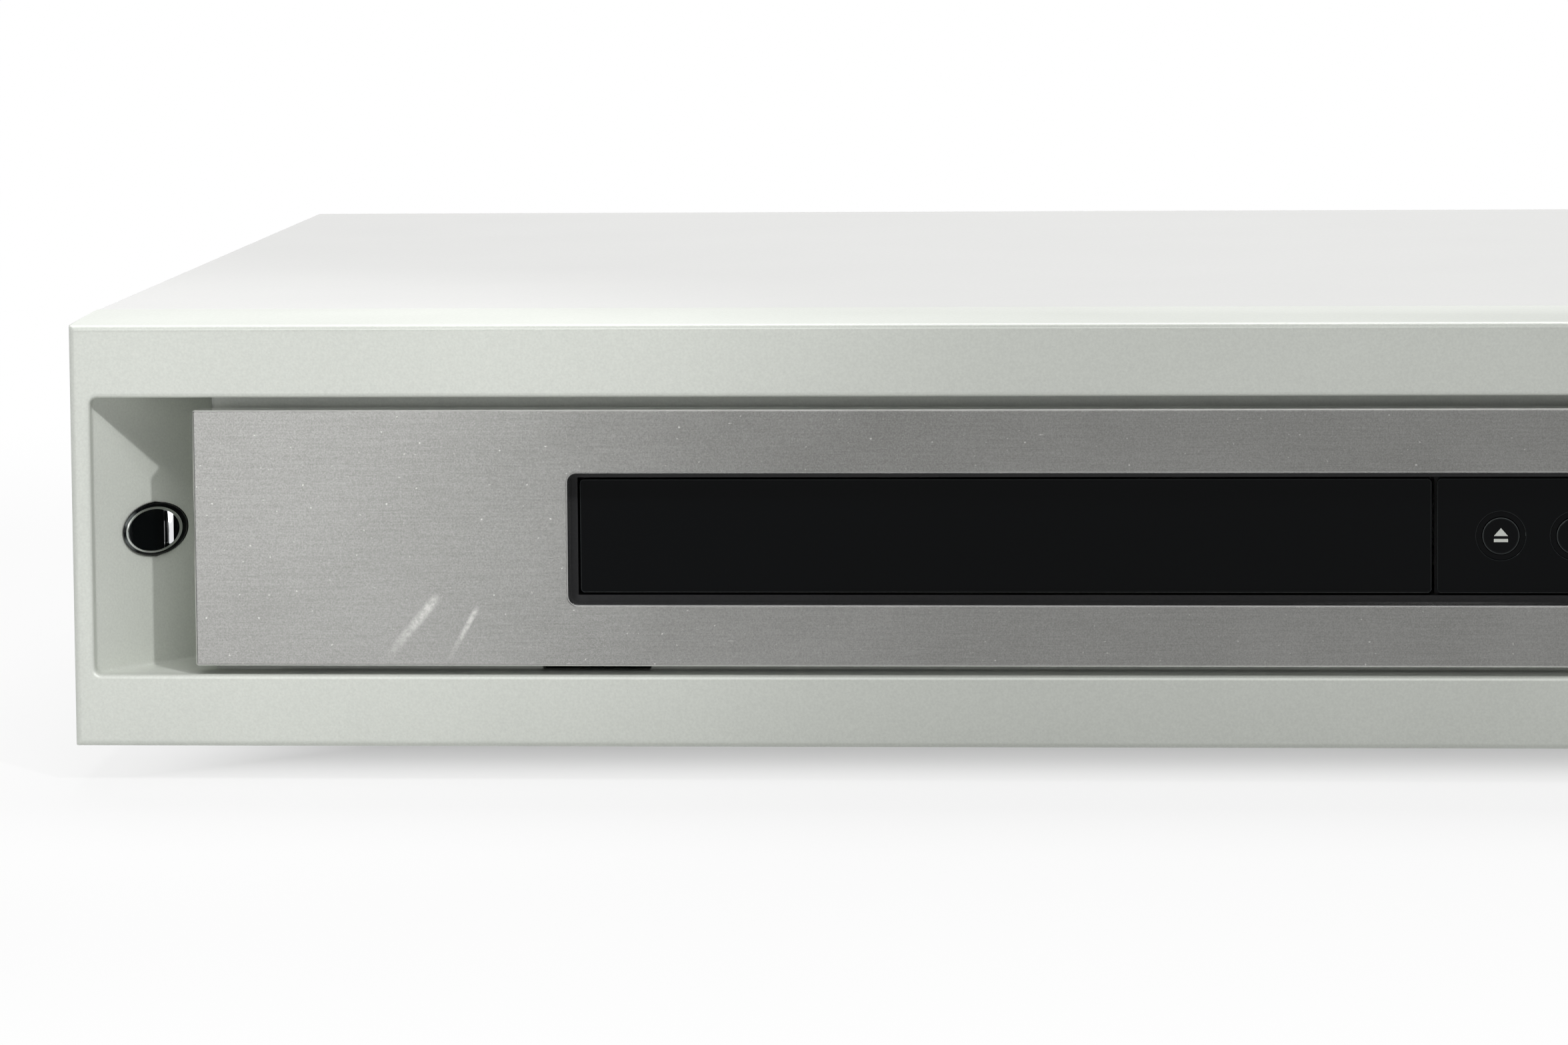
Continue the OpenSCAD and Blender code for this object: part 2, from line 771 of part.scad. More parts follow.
// ---- cabinet ----

module vent_row(count, pitch, slot) {
  for (i = [0:count - 1]) translate([0, i * pitch, 0]) cube(slot);
}

module base_pan() color("lightsteelblue") at_front() {
  x = cover_in - seat_fit;
  front = bezel_d + seat_fit;
  tongue_x = x - pan_inset;
  tongue_z = base_z + bezel_wall;
  tongue_front = bezel_wall + 4;
  vent_l = 50;
  difference() {
    union() {
      box([-x, x], [front, rear_in], [base_z, pan_z]);
      mirrored_x() box([x - sheet_t, x], [front, rear_in], [base_z, base_z + pan_flange_h]);
      // a step up to the tongue that carries the moulded front from inside
      box([-tongue_x, tongue_x], [front, front + sheet_t], [base_z, tongue_z + sheet_t]);
      box([-tongue_x, tongue_x], [tongue_front, front], [tongue_z, tongue_z + sheet_t]);
    }
    for (vent_x = [tray_x - vent_l / 2, main_board_x + vent_l])
      translate([vent_x, board_front + vent_l, base_z - cut])
        vent_row(8, 3 * vent_w, [vent_l, vent_w, sheet_t + 2 * cut]);
    for (p = loader_posts()) post(tray_x + p[0], p[1], [base_z - cut, pan_z + cut], screw_hole_r);
  }
}

module top_cover() color("whitesmoke") at_front() {
  y = [bezel_d + seat_fit, case_d];
  side_foot = 1;
  vent_pitch = 8;
  vent_count = 9;
  difference() {
    union() {
      box([-case_half, case_half], y, [top_z - sheet_t, top_z]);
      mirrored_x() box([cover_in, case_half], y, [base_z + side_foot, top_z]);
      box([-case_half, case_half], [rear_in - sheet_t, rear_in], [top_z - cover_lip_h, top_z]);
    }
    mirrored_x() translate([cover_in - cut, case_d - cover_screw_inset - vent_count * vent_pitch,
                            top_z - cover_lip_h - side_vent_h])
      vent_row(vent_count, vent_pitch, [sheet_t + 2 * cut, vent_w, side_vent_h]);
    cover_screw_holes(rear_in - sheet_t);
  }
}

function cover_screw_x() =
  [-case_half + cover_screw_inset, 0, case_half - cover_screw_inset];

module cover_screw_holes(from) {
  for (x = cover_screw_x()) bar(x, top_z - cover_screw_drop, [from - cut, case_d + cut], screw_hole_r);
}

module rear_panel() color("lightgray") at_front() {
  through = [rear_in - cut, case_d + cut];
  vent_z = top_z - sheet_t - cover_lip_h - rear_vent_h;
  difference() {
    box([-cover_in + seat_fit, cover_in - seat_fit], [rear_in, case_d], [base_z, top_z - sheet_t]);
    cover_screw_holes(rear_in);
    box([inlet_x - inlet_w / 2 - seat_fit, inlet_x + inlet_w / 2 + seat_fit], through,
        [board_top - seat_fit, socket_z + inlet_h + seat_fit]);
    box([tv_x - seat_fit, tv_x + tv_body_w + seat_fit], through,
        [board_top - seat_fit, socket_z + tv_count * tv_body_h + seat_fit]);
    for (i = [0:jack_count - 1], z = jack_z) bar(jack_at(i), z, through, jack_r + 2 * seat_fit);
    for (z = tuner_z) bar(tuner_x + tuner_w / 2, z, through, tuner_r + 2 * seat_fit);
    for (i = [0:12]) translate([tray_x - tray_w / 2 + (2 * i + 1) * 1.2 * vent_w, through[0], vent_z])
      cube([vent_w, sheet_t + 2 * cut, rear_vent_h]);
  }
}

module feet() color([0.1, 0.1, 0.1]) at_front() {
  x = case_half - foot_inset;
  for (foot_x = [-x, x], foot_y = [front_foot_d, case_d - foot_inset])
    post(foot_x, foot_y, [0, foot_h], foot_r);
}

// A screw with its head on the plane z = 0 and its thread below.
module screw() {
  cylinder(r = screw_head_r, h = screw_head_h);
  mirror([0, 0, 1]) cylinder(r = screw_r, h = screw_l);
}

module case_screws() color("slategray") at_front() {
  for (x = cover_screw_x())
    translate([x, case_d, top_z - cover_screw_drop]) rotate([-90, 0, 0]) screw();
  for (p = loader_posts()) translate([tray_x + p[0], p[1], base_z]) rotate([180, 0, 0]) screw();
}

// ---- loader ----

function loader_posts() =
  [for (x = [-tray_w / 2 - mount_over, tray_w / 2 + mount_over],
        y = [bezel_d + front_mount_gap, loader_end - mount_inset]) [x, y]];

module loader_frame() color([0.25, 0.25, 0.27]) at_tray() {
  wall_in = tray_w / 2 + slide_fit;
  wall_out = wall_in + loader_wall;
  floor_out = wall_out + loader_rim;
  guide_z = tray_top + slide_fit;
  pin_room = pin_r + 1.2;
  difference() {
    union() {
      box([-floor_out, floor_out], [loader_front, loader_end], [loader_floor, loader_z]);
      mirrored_x() {
        box([wall_in, wall_out], [loader_front, loader_end], [loader_floor, wall_top]);
        // ledge that the tray slides on, and guides above it
        box([wall_in - ledge_w, wall_in + sink], [loader_front, loader_end], [ledge_z, ledge_z + ledge_t]);
        for (y = [loader_front + 2, disc_depth - guide_l, disc_depth + disc_d / 3, loader_end - 2 * guide_l])
          box([wall_in - guide_w, wall_in + sink], [y, y + guide_l], [guide_z, guide_z + guide_t]);
        // posts that hold the carrier's rear pins
        box([floor_hole_half, floor_hole_half + pin_l], [carrier_end - ear_half, carrier_end + ear_half],
            [loader_floor, pivot_z + pin_l]);
      }
      for (p = loader_posts()) post(p[0], p[1], [pan_z, loader_z], mount_r);
      // wall behind the cam
      box([-floor_hole_half - pin_l, floor_hole_half + pin_l], [cross_depth, cross_depth + cross_t],
          [loader_floor, carrier_top + cross_rise]);
      motor_table();
      wheel_axle(drive_x, drive_z, drive_top);
      wheel_axle(belt_wheel_x, wheel_z, wheel_z + wheel_h + pinion_h);
    }
    box([-floor_hole_half, floor_hole_half], [carrier_front - 1, loader_end - 8],
        [loader_floor - cut, loader_z + cut]);
    box([-pin_room, pin_room], [cross_depth - cut, cross_depth + cross_t + cut],
        [loader_z + 2, carrier_top + cross_rise + cut]);
    mirrored_x() translate([floor_hole_half - cut, carrier_end, pivot_z]) rotate([0, 90, 0])
      cylinder(r = pin_r + bush_wall, h = pin_l + 2 * cut);
    post(loader_motor_x, gear_depth, [motor_table_z - cut, motor_table_z + motor_table_t + cut],
         motor_shaft_r + 1.2);
    for (p = loader_posts()) post(p[0], p[1], [pan_z - cut, loader_z + cut], screw_hole_r);
  }
}

// An axle on the loader's floor, with a shoulder just below its wheel.
module wheel_axle(x, wheel_bottom, top) {
  post(x, gear_depth, [loader_floor, top], axle_r);
  post(x, gear_depth, [loader_floor, wheel_bottom - seat_fit], axle_r + 1);
}

// The raised table that carries the loader's motor, open on the side of the belt.
module motor_table() {
  rim = motor_table_rim;
  x0 = loader_motor_x - motor_r - rim;
  x1 = loader_motor_x + motor_r + rim;
  y0 = gear_depth - motor_r - rim;
  y1 = gear_depth + motor_r + rim / 2;
  box([x0, x1], [y0, y1], [motor_table_z, motor_table_z + motor_table_t]);
  box([x0, x0 + rim], [y0, y1], [loader_floor, motor_table_z]);
  for (y = [y0, y1 - rim])
    box([x0, x0 + motor_table_leg], [y, y + rim], [loader_floor, motor_table_z]);
}

module loader_motor() color("silver") at_tray() {
  seat = motor_table_z + motor_table_t;
  post(loader_motor_x, gear_depth, [seat, tray_z - 3 * slide_fit], motor_r);
  post(loader_motor_x, gear_depth, [wheel_z + slide_fit, seat], motor_shaft_r);
}

module motor_wheel() color("ivory") at_tray() difference() {
  belt_groove(loader_motor_x, motor_wheel_r);
  post(loader_motor_x, gear_depth, [wheel_z - cut, wheel_z + wheel_h + cut], motor_shaft_r + run_fit);
}

// A wheel with a flat groove for the belt.
module belt_groove(x, r) {
  lip = (wheel_h - belt_h) / 2;
  post(x, gear_depth, [wheel_z, wheel_z + wheel_h], r);
  post(x, gear_depth, [wheel_z, wheel_z + lip - part_gap], r + wheel_lip);
  post(x, gear_depth, [wheel_z + wheel_h - lip + part_gap, wheel_z + wheel_h], r + wheel_lip);
}

module belt_wheel() color("ivory") at_tray() difference() {
  top = wheel_z + wheel_h + pinion_h;
  union() {
    belt_groove(belt_wheel_x, belt_wheel_r);
    translate([belt_wheel_x, gear_depth, 0]) raised([wheel_z + wheel_h - sink, top])
      gear_2d(gear_module, pinion_teeth, 180 / pinion_teeth);
  }
  post(belt_wheel_x, gear_depth, [wheel_z - cut, top + cut], axle_r + run_fit);
}

module drive_belt() color([0.1, 0.1, 0.1]) at_tray() {
  z0 = wheel_z + (wheel_h - belt_h) / 2;
  translate([0, gear_depth, 0]) raised([z0, z0 + belt_h]) difference() {
    around_wheels(loader_motor_x, motor_wheel_r + run_fit + belt_t,
                  belt_wheel_x, belt_wheel_r + run_fit + belt_t);
    around_wheels(loader_motor_x, motor_wheel_r + run_fit, belt_wheel_x, belt_wheel_r + run_fit);
  }
}

module drive_gear() color("ivory") at_tray() difference() {
  translate([drive_x, gear_depth, 0]) raised([drive_z, drive_top]) gear_2d(gear_module, drive_teeth, 0);
  post(drive_x, gear_depth, [drive_z - cut, drive_top + cut], axle_r + run_fit);
}

module tray() color([0.2, 0.2, 0.22]) at_tray() {
  half = tray_w / 2;
  lip = [tray_w / 2 - 4, 3];      // half width and thickness of the upright behind the door
  over = tray_top + panel_h;
  difference() {
    union() {
      box([-half, half], [door_back, tray_end], [tray_z, tray_top]);
      box([-lip[0], lip[0]], [door_back, door_back + lip[1]], [panel_z + 1, panel_z + panel_h - 2]);
    }
    post(0, disc_depth, [tray_top - disc_recess, over], disc_d / 2 + disc_fit);
    post(0, disc_depth, [tray_top - small_recess, over], small_disc_r + disc_fit);
    post(0, disc_depth, [tray_z - cut, over], tray_slot_r);
    box([-tray_slot_r, tray_slot_r], [disc_depth, tray_end + cut], [tray_z - cut, over]);
  }
  raised([tray_z - rack_h, tray_z + sink])
    rack_2d(gear_module, rack_x, rack_back, [gear_depth - rack_run - 2, tray_end - rack_margin], gear_depth);
}

module tray_door() color([0.05, 0.05, 0.06]) at_front() {
  x = -panel_gap / 2;
  plate([x - panel_w, x], [panel_z, panel_z + panel_h], [panel_face, door_back], panel_corner_r);
}

// The sloping slot draws the carrier's front pin down as the cam moves to the right.
module cam_slider() color("white") at_tray() difference() {
  slot_r = pin_r + 0.25;
  slope = cam_drop / cam_travel;
  end = cam_travel + slot_r;
  box([-cam_travel - cam_margin, cam_margin], [cam_depth, cam_depth + cam_t],
      [cam_z, carrier_top + 3]);
  translate([0, cam_depth + cam_t + cut, pivot_z]) rotate([90, 0, 0])
    linear_extrude(cam_t + 2 * cut) polygon([
      [slot_r, slope * slot_r + 1.1 * slot_r], [slot_r, -1.1 * slot_r],
      [0, -1.1 * slot_r], [-end, -slope * end - 1.1 * slot_r],
      [-end, -slope * end + 1.1 * slot_r], [0, 1.1 * slot_r],
    ]);
}

// ---- disc drive on the tilting carrier ----

module carrier() color([0.3, 0.3, 0.32]) at_tray() {
  sled_hole = sled_half + sled_gap;
  block_z = [carrier_top - sink, rod_z + rod_lift];
  difference() {
    union() {
      box([-carrier_half, carrier_half], [carrier_front, carrier_end], [carrier_z, carrier_top]);
      for (x = [-rod_x, rod_x]) {
        box([x - rod_block_half, x + rod_block_half], [rod_front - 3, rod_front + 1], block_z);
        box([x - rod_block_half, x + rod_block_half], [rod_end - 1, rod_end + 2], block_z);
      }
      translate([-carrier_half - pin_l, carrier_end, pivot_z]) rotate([0, 90, 0])
        cylinder(r = pin_r, h = 2 * (carrier_half + pin_l));
      bar(0, pivot_z, [cam_depth + seat_fit, carrier_front + 1], pin_r);
    }
    box([-sled_hole, sled_hole], [rod_front + 1, rod_end - 1], [carrier_z - cut, carrier_top + cut]);
    post(sled_gear_x, sled_gear_depth, [carrier_z - cut, carrier_top + cut], sled_shaft_r + 0.4);
    for (x = [-rod_x, rod_x]) bar(x, rod_z, [rod_front - 2, rod_end + 1], rod_r);
  }
}

module carrier_bushes() color([0.1, 0.1, 0.1]) at_tray() mirrored_x() {
  translate([floor_hole_half, carrier_end, pivot_z]) rotate([0, 90, 0]) difference() {
    cylinder(r = pin_r + bush_wall, h = pin_l);
    translate([0, 0, -cut]) cylinder(r = pin_r + run_fit, h = pin_l + 2 * cut);
  }
}

module spindle_motor() color("silver") at_tray() {
  post(0, disc_depth, [carrier_top, carrier_top + spindle_h], spindle_r);
  post(0, disc_depth, [carrier_top + spindle_h, table_z + table_t], spindle_shaft_r);
}

module turntable() color("dimgray") at_tray() difference() {
  top = table_z + table_t + hub_h;
  union() {
    post(0, disc_depth, [carrier_top + spindle_h + slide_fit, table_z], table_neck_r);
    post(0, disc_depth, [table_z, table_z + table_t], turntable_r);
    post(0, disc_depth, [table_z + table_t, top], hub_r);
  }
  post(0, disc_depth, [carrier_top, top + cut], spindle_shaft_r + run_fit);
}

module guide_rods() color("silver") at_tray()
  for (x = [-rod_x, rod_x]) bar(x, rod_z, [rod_front - 2, rod_end + 1], rod_r);

module pickup_sled() color("darkgray") at_tray() {
  lens_depth = disc_depth + lens_home;
  difference() {
    box([-sled_half, sled_half], [sled_front, sled_front + sled_l], [sled_z, sled_z + sled_h]);
    for (x = [-rod_x, rod_x])
      bar(x, rod_z, [sled_front - cut, sled_front + sled_l + cut], rod_r + run_fit);
    post(0, lens_depth, [sled_z + lens_floor, sled_z + sled_h + cut], lens_hole_r);
  }
  // mirror image of the tray's rack: teeth towards the gear beside the sled
  translate([sled_rack_x, 0, 0]) raised([sled_gear_z, sled_gear_z + sled_gear_h])
    rack_2d(sled_module, 0, sled_rack_w + sink,
            [sled_gear_depth - sled_travel - 4, sled_front + sled_l], sled_gear_depth);
}

module focus_lens() color("lightblue") at_tray()
  post(0, disc_depth + lens_home, [sled_z + lens_floor + 1, lens_top], lens_r);

module sled_gear() color("ivory") at_tray() difference() {
  z = [sled_gear_z, sled_gear_z + sled_gear_h];
  translate([sled_gear_x, sled_gear_depth, 0]) raised(z) gear_2d(sled_module, sled_teeth, 0);
  post(sled_gear_x, sled_gear_depth, [z[0] - cut, z[1] + cut], sled_shaft_r + run_fit);
}

module sled_motor() color("silver") at_tray() {
  post(sled_gear_x, sled_gear_depth, [carrier_z - sled_motor_h, carrier_z], sled_motor_r);
  post(sled_gear_x, sled_gear_depth, [carrier_z, sled_gear_z + sled_gear_h], sled_shaft_r);
}

module clamp_bridge() color("lightgray") at_tray() difference() {
  wall_out = tray_w / 2 + slide_fit + loader_wall;
  box([-wall_out, wall_out], [disc_depth - bridge_w / 2, disc_depth + bridge_w / 2],
      [wall_top, wall_top + bridge_t]);
  post(0, disc_depth, [wall_top - cut, wall_top + bridge_t + cut], clamp_r + bridge_gap);
}

module clamp_puck() color([0.2, 0.2, 0.22]) at_tray() {
  flange_z = wall_top + bridge_t + part_gap;
  post(0, disc_depth, [puck_z, flange_z], clamp_r);
  post(0, disc_depth, [flange_z, flange_z + puck_flange_t], clamp_r + puck_flange);
}

// ---- electronics ----

function board_corners(x, w) =
  [for (px = [x + post_inset, x + w - post_inset],
        py = [board_front + post_inset, board_front + board_l - rear_post_inset]) [px, py]];

module board(x, w) difference() {
  box([x, x + w], [board_front, board_front + board_l], [board_z, board_top]);
  for (p = board_corners(x, w)) post(p[0], p[1], [board_z - cut, board_top + cut], post_hole_r);
}

module main_board() color("darkgreen") at_front() board(main_board_x, main_board_w);

module power_board() color([0.6, 0.5, 0.3]) at_front() board(power_board_x, power_board_w);

module board_posts() color("silver") at_front()
  for (p = concat(board_corners(main_board_x, main_board_w), board_corners(power_board_x, power_board_w))) {
    post(p[0], p[1], [pan_z, board_z], post_r);
    post(p[0], p[1], [board_z, board_top + post_head_h], post_pin_r);
    post(p[0], p[1], [board_top, board_top + post_head_h], post_head_r);
  }

// A block on a circuit board: its place from the board's front corner, and its size.
module component(board_x, at, size) {
  translate([board_x + at[0], board_front + at[1], board_top]) cube(size);
}

module main_chips() color([0.1, 0.1, 0.1]) at_front() {
  rows = [for (i = [0:2]) parts_front + i * parts_pitch];
  component(main_board_x, [parts_x[0], rows[0]], big_chip);
  for (y = [rows[0], rows[1]]) component(main_board_x, [parts_x[1], y], chip);
  component(main_board_x, [parts_x[2], rows[0]], big_chip);
  component(main_board_x, [parts_x[0], rows[2]], chip);
  component(main_board_x, [parts_x[1], rows[2]], socket_strip);
  component(main_board_x, [parts_x[3], rows[0]], shield);
}

module transformer() color([0.85, 0.75, 0.2]) at_front() {
  mid = power_board_w / 2;
  coil_front = transformer_at + (core[1] - coil[1]) / 2;
  component(power_board_x, [mid - core[0] / 2, transformer_at], core);
  component(power_board_x, [mid - coil[0] / 2, coil_front], coil);
}

module capacitor(x, y, size) {
  post(power_board_x + power_board_w / 2 + x, board_front + y, [board_top, board_top + size[1]], size[0]);
}

module capacitors() color([0.1, 0.15, 0.4]) at_front() {
  capacitor(-cap_pitch, large_caps_at, large_cap);
  capacitor(cap_pitch, large_caps_at, middle_cap);
  for (x = [-cap_pitch, 0, cap_pitch]) capacitor(x, small_caps_at, small_cap);
}

module heat_sink() color("gray") at_front() {
  inset = heat_sink_inset;
  w = power_board_w - 2 * inset;
  fin_pitch = (w - fin_t) / (fin_count - 1);
  component(power_board_x, [inset, inset], [w, heat_sink_t, heat_sink_h]);
  for (i = [0:fin_count - 1])
    component(power_board_x, [inset + i * fin_pitch, inset + heat_sink_t], [fin_t, fin_l, heat_sink_h]);
}

module mains_inlet() color([0.08, 0.08, 0.08]) at_front() {
  pin_at = inlet_pin_pitch / 2;
  mid = socket_z + inlet_h / 2;
  floor_d = case_d - inlet_depth;
  r = pin_at - slide_fit;
  difference() {
    box([inlet_x - inlet_w / 2, inlet_x + inlet_w / 2], [floor_d - 4, case_d],
        [board_top, socket_z + inlet_h]);
    for (x = [inlet_x - pin_at, inlet_x + pin_at]) bar(x, mid, [floor_d, case_d + cut], r);
    box([inlet_x - pin_at, inlet_x + pin_at], [floor_d, case_d + cut], [mid - r, mid + r]);
  }
  for (x = [inlet_x - pin_at, inlet_x + pin_at]) bar(x, mid, [floor_d - 1, case_d - 2], inlet_pin_r);
}

// Television sockets, one on top of the other.
module tv_sockets() color([0.1, 0.1, 0.1]) at_front() {
  mid_x = tv_x + tv_body_w / 2;
  back = case_d + tv_lip;
  for (i = [0:tv_count - 1]) {
    z = socket_z + i * tv_body_h;
    mouth_z = z + (tv_body_h - scart_h) / 2;
    difference() {
      box([tv_x, tv_x + tv_body_w], [back - tv_body_l, back], [i == 0 ? board_top : z, z + tv_body_h]);
      box([mid_x - scart_w / 2, mid_x + scart_w / 2], [back - tv_pocket, back + cut],
          [mouth_z, mouth_z + scart_h]);
    }
    // contact strip on the pocket's floor
    box([mid_x - scart_w / 2 + tv_strip_margin, mid_x + scart_w / 2 - tv_strip_margin],
        [back - tv_pocket - sink, back - tv_lip], [mouth_z + tv_strip[0], mouth_z + tv_strip[1]]);
  }
}

// A round socket: a collar in the rear panel's hole and a sleeve behind the panel.
module round_socket(x, z, r, hole_r) {
  difference() {
    union() {
      bar(x, z, [rear_in, case_d], r + seat_fit);
      bar(x, z, [case_d, case_d + jack_l], r);
    }
    bar(x, z, [rear_in + socket_wall, case_d + jack_l + cut], hole_r);
  }
}

function jack_at(i) = jack_x + (i + 0.5) * jack_pitch;

module av_jacks() color([0.15, 0.15, 0.15]) at_front() {
  box([jack_x, jack_x + jack_count * jack_pitch], [rear_in - jack_block_l, rear_in],
      [board_top, jack_z[1] + jack_pitch / 2]);
  for (i = [0:jack_count - 1], z = jack_z) round_socket(jack_at(i), z, jack_r, jack_hole_r);
}

module tuner_box() color("silver") at_front() {
  box([tuner_x, tuner_x + tuner_w], [rear_in - tuner_l, rear_in], [board_top, board_top + tuner_h]);
  for (z = tuner_z) round_socket(tuner_x + tuner_w / 2, z, tuner_r, tuner_hole_r);
}

// The flat cable from the front board down to the main board.
module flat_cables() color("white") at_front() {
  x = [cable_x, cable_x + cable_w];
  start = front_board_d + board_t;
  bend = start + cable_run;
  top = board_top + cable_rise;
  box(x, [start, bend], [top, top + cable_t]);
  box(x, [bend, bend + cable_t], [board_top, top + cable_t]);
  box(x, [bend, board_front + cable_run], [board_top, board_top + cable_t]);
}

front_bezel();
front_trim();
window_frame();
control_lens();
display_module();
front_board();
switch_set();
power_switch();
power_button();
eject_button();
play_button();
pause_button();
stop_button();
record_button();
base_pan();
top_cover();
rear_panel();
feet();
case_screws();
loader_frame();
clamp_bridge();
clamp_puck();
tray();
tray_door();
drive_gear();
belt_wheel();
drive_belt();
motor_wheel();
loader_motor();
cam_slider();
carrier();
carrier_bushes();
spindle_motor();
turntable();
guide_rods();
pickup_sled();
focus_lens();
sled_gear();
sled_motor();
main_board();
main_chips();
board_posts();
power_board();
transformer();
capacitors();
heat_sink();
mains_inlet();
tv_sockets();
av_jacks();
tuner_box();
flat_cables();
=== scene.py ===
import json
import math

import bmesh
import bpy
from mathutils import Matrix, Vector

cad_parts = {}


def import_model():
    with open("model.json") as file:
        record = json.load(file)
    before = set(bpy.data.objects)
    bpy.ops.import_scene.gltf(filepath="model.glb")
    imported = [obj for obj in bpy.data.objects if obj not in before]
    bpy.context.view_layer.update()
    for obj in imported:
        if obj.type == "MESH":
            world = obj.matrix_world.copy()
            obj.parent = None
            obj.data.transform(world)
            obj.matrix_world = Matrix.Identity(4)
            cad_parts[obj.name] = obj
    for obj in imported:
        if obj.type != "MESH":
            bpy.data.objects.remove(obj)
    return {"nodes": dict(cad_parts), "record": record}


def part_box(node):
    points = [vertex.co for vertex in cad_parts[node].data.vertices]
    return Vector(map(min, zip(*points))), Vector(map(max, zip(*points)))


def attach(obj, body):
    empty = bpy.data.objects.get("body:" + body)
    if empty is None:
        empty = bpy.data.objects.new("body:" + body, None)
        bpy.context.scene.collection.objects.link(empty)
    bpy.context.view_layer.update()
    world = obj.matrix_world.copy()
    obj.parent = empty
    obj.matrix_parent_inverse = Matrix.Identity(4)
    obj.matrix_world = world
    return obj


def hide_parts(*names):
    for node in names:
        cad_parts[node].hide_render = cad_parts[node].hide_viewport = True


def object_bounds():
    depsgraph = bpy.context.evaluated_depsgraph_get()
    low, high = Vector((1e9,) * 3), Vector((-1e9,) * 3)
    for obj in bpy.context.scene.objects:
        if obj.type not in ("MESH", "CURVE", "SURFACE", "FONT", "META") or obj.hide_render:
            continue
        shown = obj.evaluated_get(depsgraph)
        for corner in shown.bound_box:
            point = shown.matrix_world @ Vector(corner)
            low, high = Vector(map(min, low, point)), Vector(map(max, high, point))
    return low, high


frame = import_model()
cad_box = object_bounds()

# The looks of a full-width disc player with a tray. Lengths are in metres, in the frame of the packed
# model: X to the right seen from the front, Y to the back, Z up from the surface it stands on.
MM = 0.001

# Camera, fitted to the photograph: place, angles in degrees, and the focal length in pixels
PHOTO_WIDTH = 2352
PHOTO_FOCAL = 10870
SENSOR_MM = 36
CLIP_START = 0.05
CAMERA_PLACE = (-8.8 * MM, -1265.3 * MM, 160.0 * MM)
CAMERA_YAW = 4.710
CAMERA_PITCH = 6.010
CAMERA_ROLL = -0.505

WHITE = (1, 1, 1, 1)

# The unseen room around the player: how bright it is in front and behind, and between which two values
# of a direction's Y it turns from one to the other
ROOM_FRONT = 0.02
ROOM_BACK = 0.4
ROOM_TURNS = (-0.6, 0.1)

# The floor is paper, which takes a shadow, mixed with white background. The paper's share is PAPER_UNDER
# from PAPER_INSET inside the player's edges, PAPER_BESIDE at its edges, and nothing from PAPER_REACH outside.
FLOOR_HALF = 6.0
PAPER_COLOUR = (0.80, 0.80, 0.80, 1)
PAPER_UNDER = 0.6
PAPER_BESIDE = 0.16
PAPER_INSET = 0.05
PAPER_REACH = 0.35

# Edges that turn by more than ROUNDED_ANGLE are rounded, and those that turn by less than SMOOTH_ANGLE are
# shaded smooth. Faces within FLAT_ANGLE lie in one plane, and those within MERGED_ANGLE become one face.
ROUNDED_ANGLE = math.radians(35)
SMOOTH_ANGLE = math.radians(30)
FLAT_ANGLE = math.radians(1)
MERGED_ANGLE = math.radians(0.5)

# Points closer than this are one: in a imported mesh, at a cut through it, and in a plate
MESH_FIT = 0.002 * MM
CUT_FIT = 0.001 * MM
PLATE_FIT = 0.0005 * MM

front_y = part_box("front_bezel")[0].y
scene = bpy.context.scene


def middle(node):
    low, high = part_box(node)
    return (low + high) / 2


# ---- materials ----

# Sockets of a Mix node between colours
MIX_AMOUNT = 0
MIX_FIRST = 6
MIX_SECOND = 7
MIX_RESULT = 2

# Most of a noise lies this near to its middle
NOISE_MIDDLE = 0.5
NOISE_SPREAD = 0.2

# How moulded and painted surfaces vary: size of the clouds, their weight beside the fine grain, and the
# share that the roughness changes by
CLOUD_SIZE = 40 * MM
CLOUD_WEIGHT = 0.4
GLOSS_SPREAD = 0.03

# Scratches on the trim: start and end in X and Z, and half width. As shares of a scratch: the core of its
# width that has full strength, the first part of its length where it sets in, and where it starts to fade.
SCRATCHES = (
    ((-0.1555, 0.0303), (-0.1645, 0.0195), 0.95 * MM),
    ((-0.1494, 0.0284), (-0.1542, 0.0198), 0.55 * MM),
)
SCRATCH_CORE = 0.3
SCRATCH_BEGIN = 0.12
SCRATCH_FADE = 0.35

# Tracks on the circuit board: their scale, the share of the lines between them and their relief
TRACKS_PER_METRE = 300
TRACK_LINES = 0.06
TRACK_RELIEF = 0.03 * MM


class Nodes:
    """Adds nodes to a tree. An input is a socket to link or a value, and None leaves it as it is."""

    def __init__(self, tree):
        self.tree = tree

    def node(self, kind, *inputs, **settings):
        made = self.tree.nodes.new("ShaderNode" + kind)
        for key, value in settings.items():
            setattr(made, key, value)
        for socket, value in zip(made.inputs, inputs):
            self.give(socket, value)
        return made

    def give(self, socket, value):
        if isinstance(value, bpy.types.NodeSocket):
            self.tree.links.new(value, socket)
        elif value is not None:
            socket.default_value = value

    def math(self, operation, *inputs):
        return self.node("Math", *inputs, operation=operation).outputs[0]

    def largest(self, first, *others):
        for other in others:
            first = self.math("MAXIMUM", first, other)
        return first

    def weighted(self, *pairs):
        """The sum of values, each times its weight."""
        parts = [self.math("MULTIPLY", value, weight) for value, weight in pairs]
        total = parts[0]
        for part in parts[1:]:
            total = self.math("ADD", total, part)
        return total

    def span(self, value, low, high, new_low, new_high, **settings):
        """Maps a range to another one, and holds the values beyond its ends."""
        return self.node("MapRange", value, low, high, new_low, new_high, **settings).outputs[0]

    def coordinates(self, output):
        return self.node("TexCoord").outputs[output]

    def apart(self, vector):
        return self.node("SeparateXYZ", vector).outputs

    def seen_by(self, *rays):
        """1 for rays of these kinds and 0 for others."""
        path = self.node("LightPath")
        return self.largest(*(path.outputs[f"Is {ray} Ray"] for ray in rays))


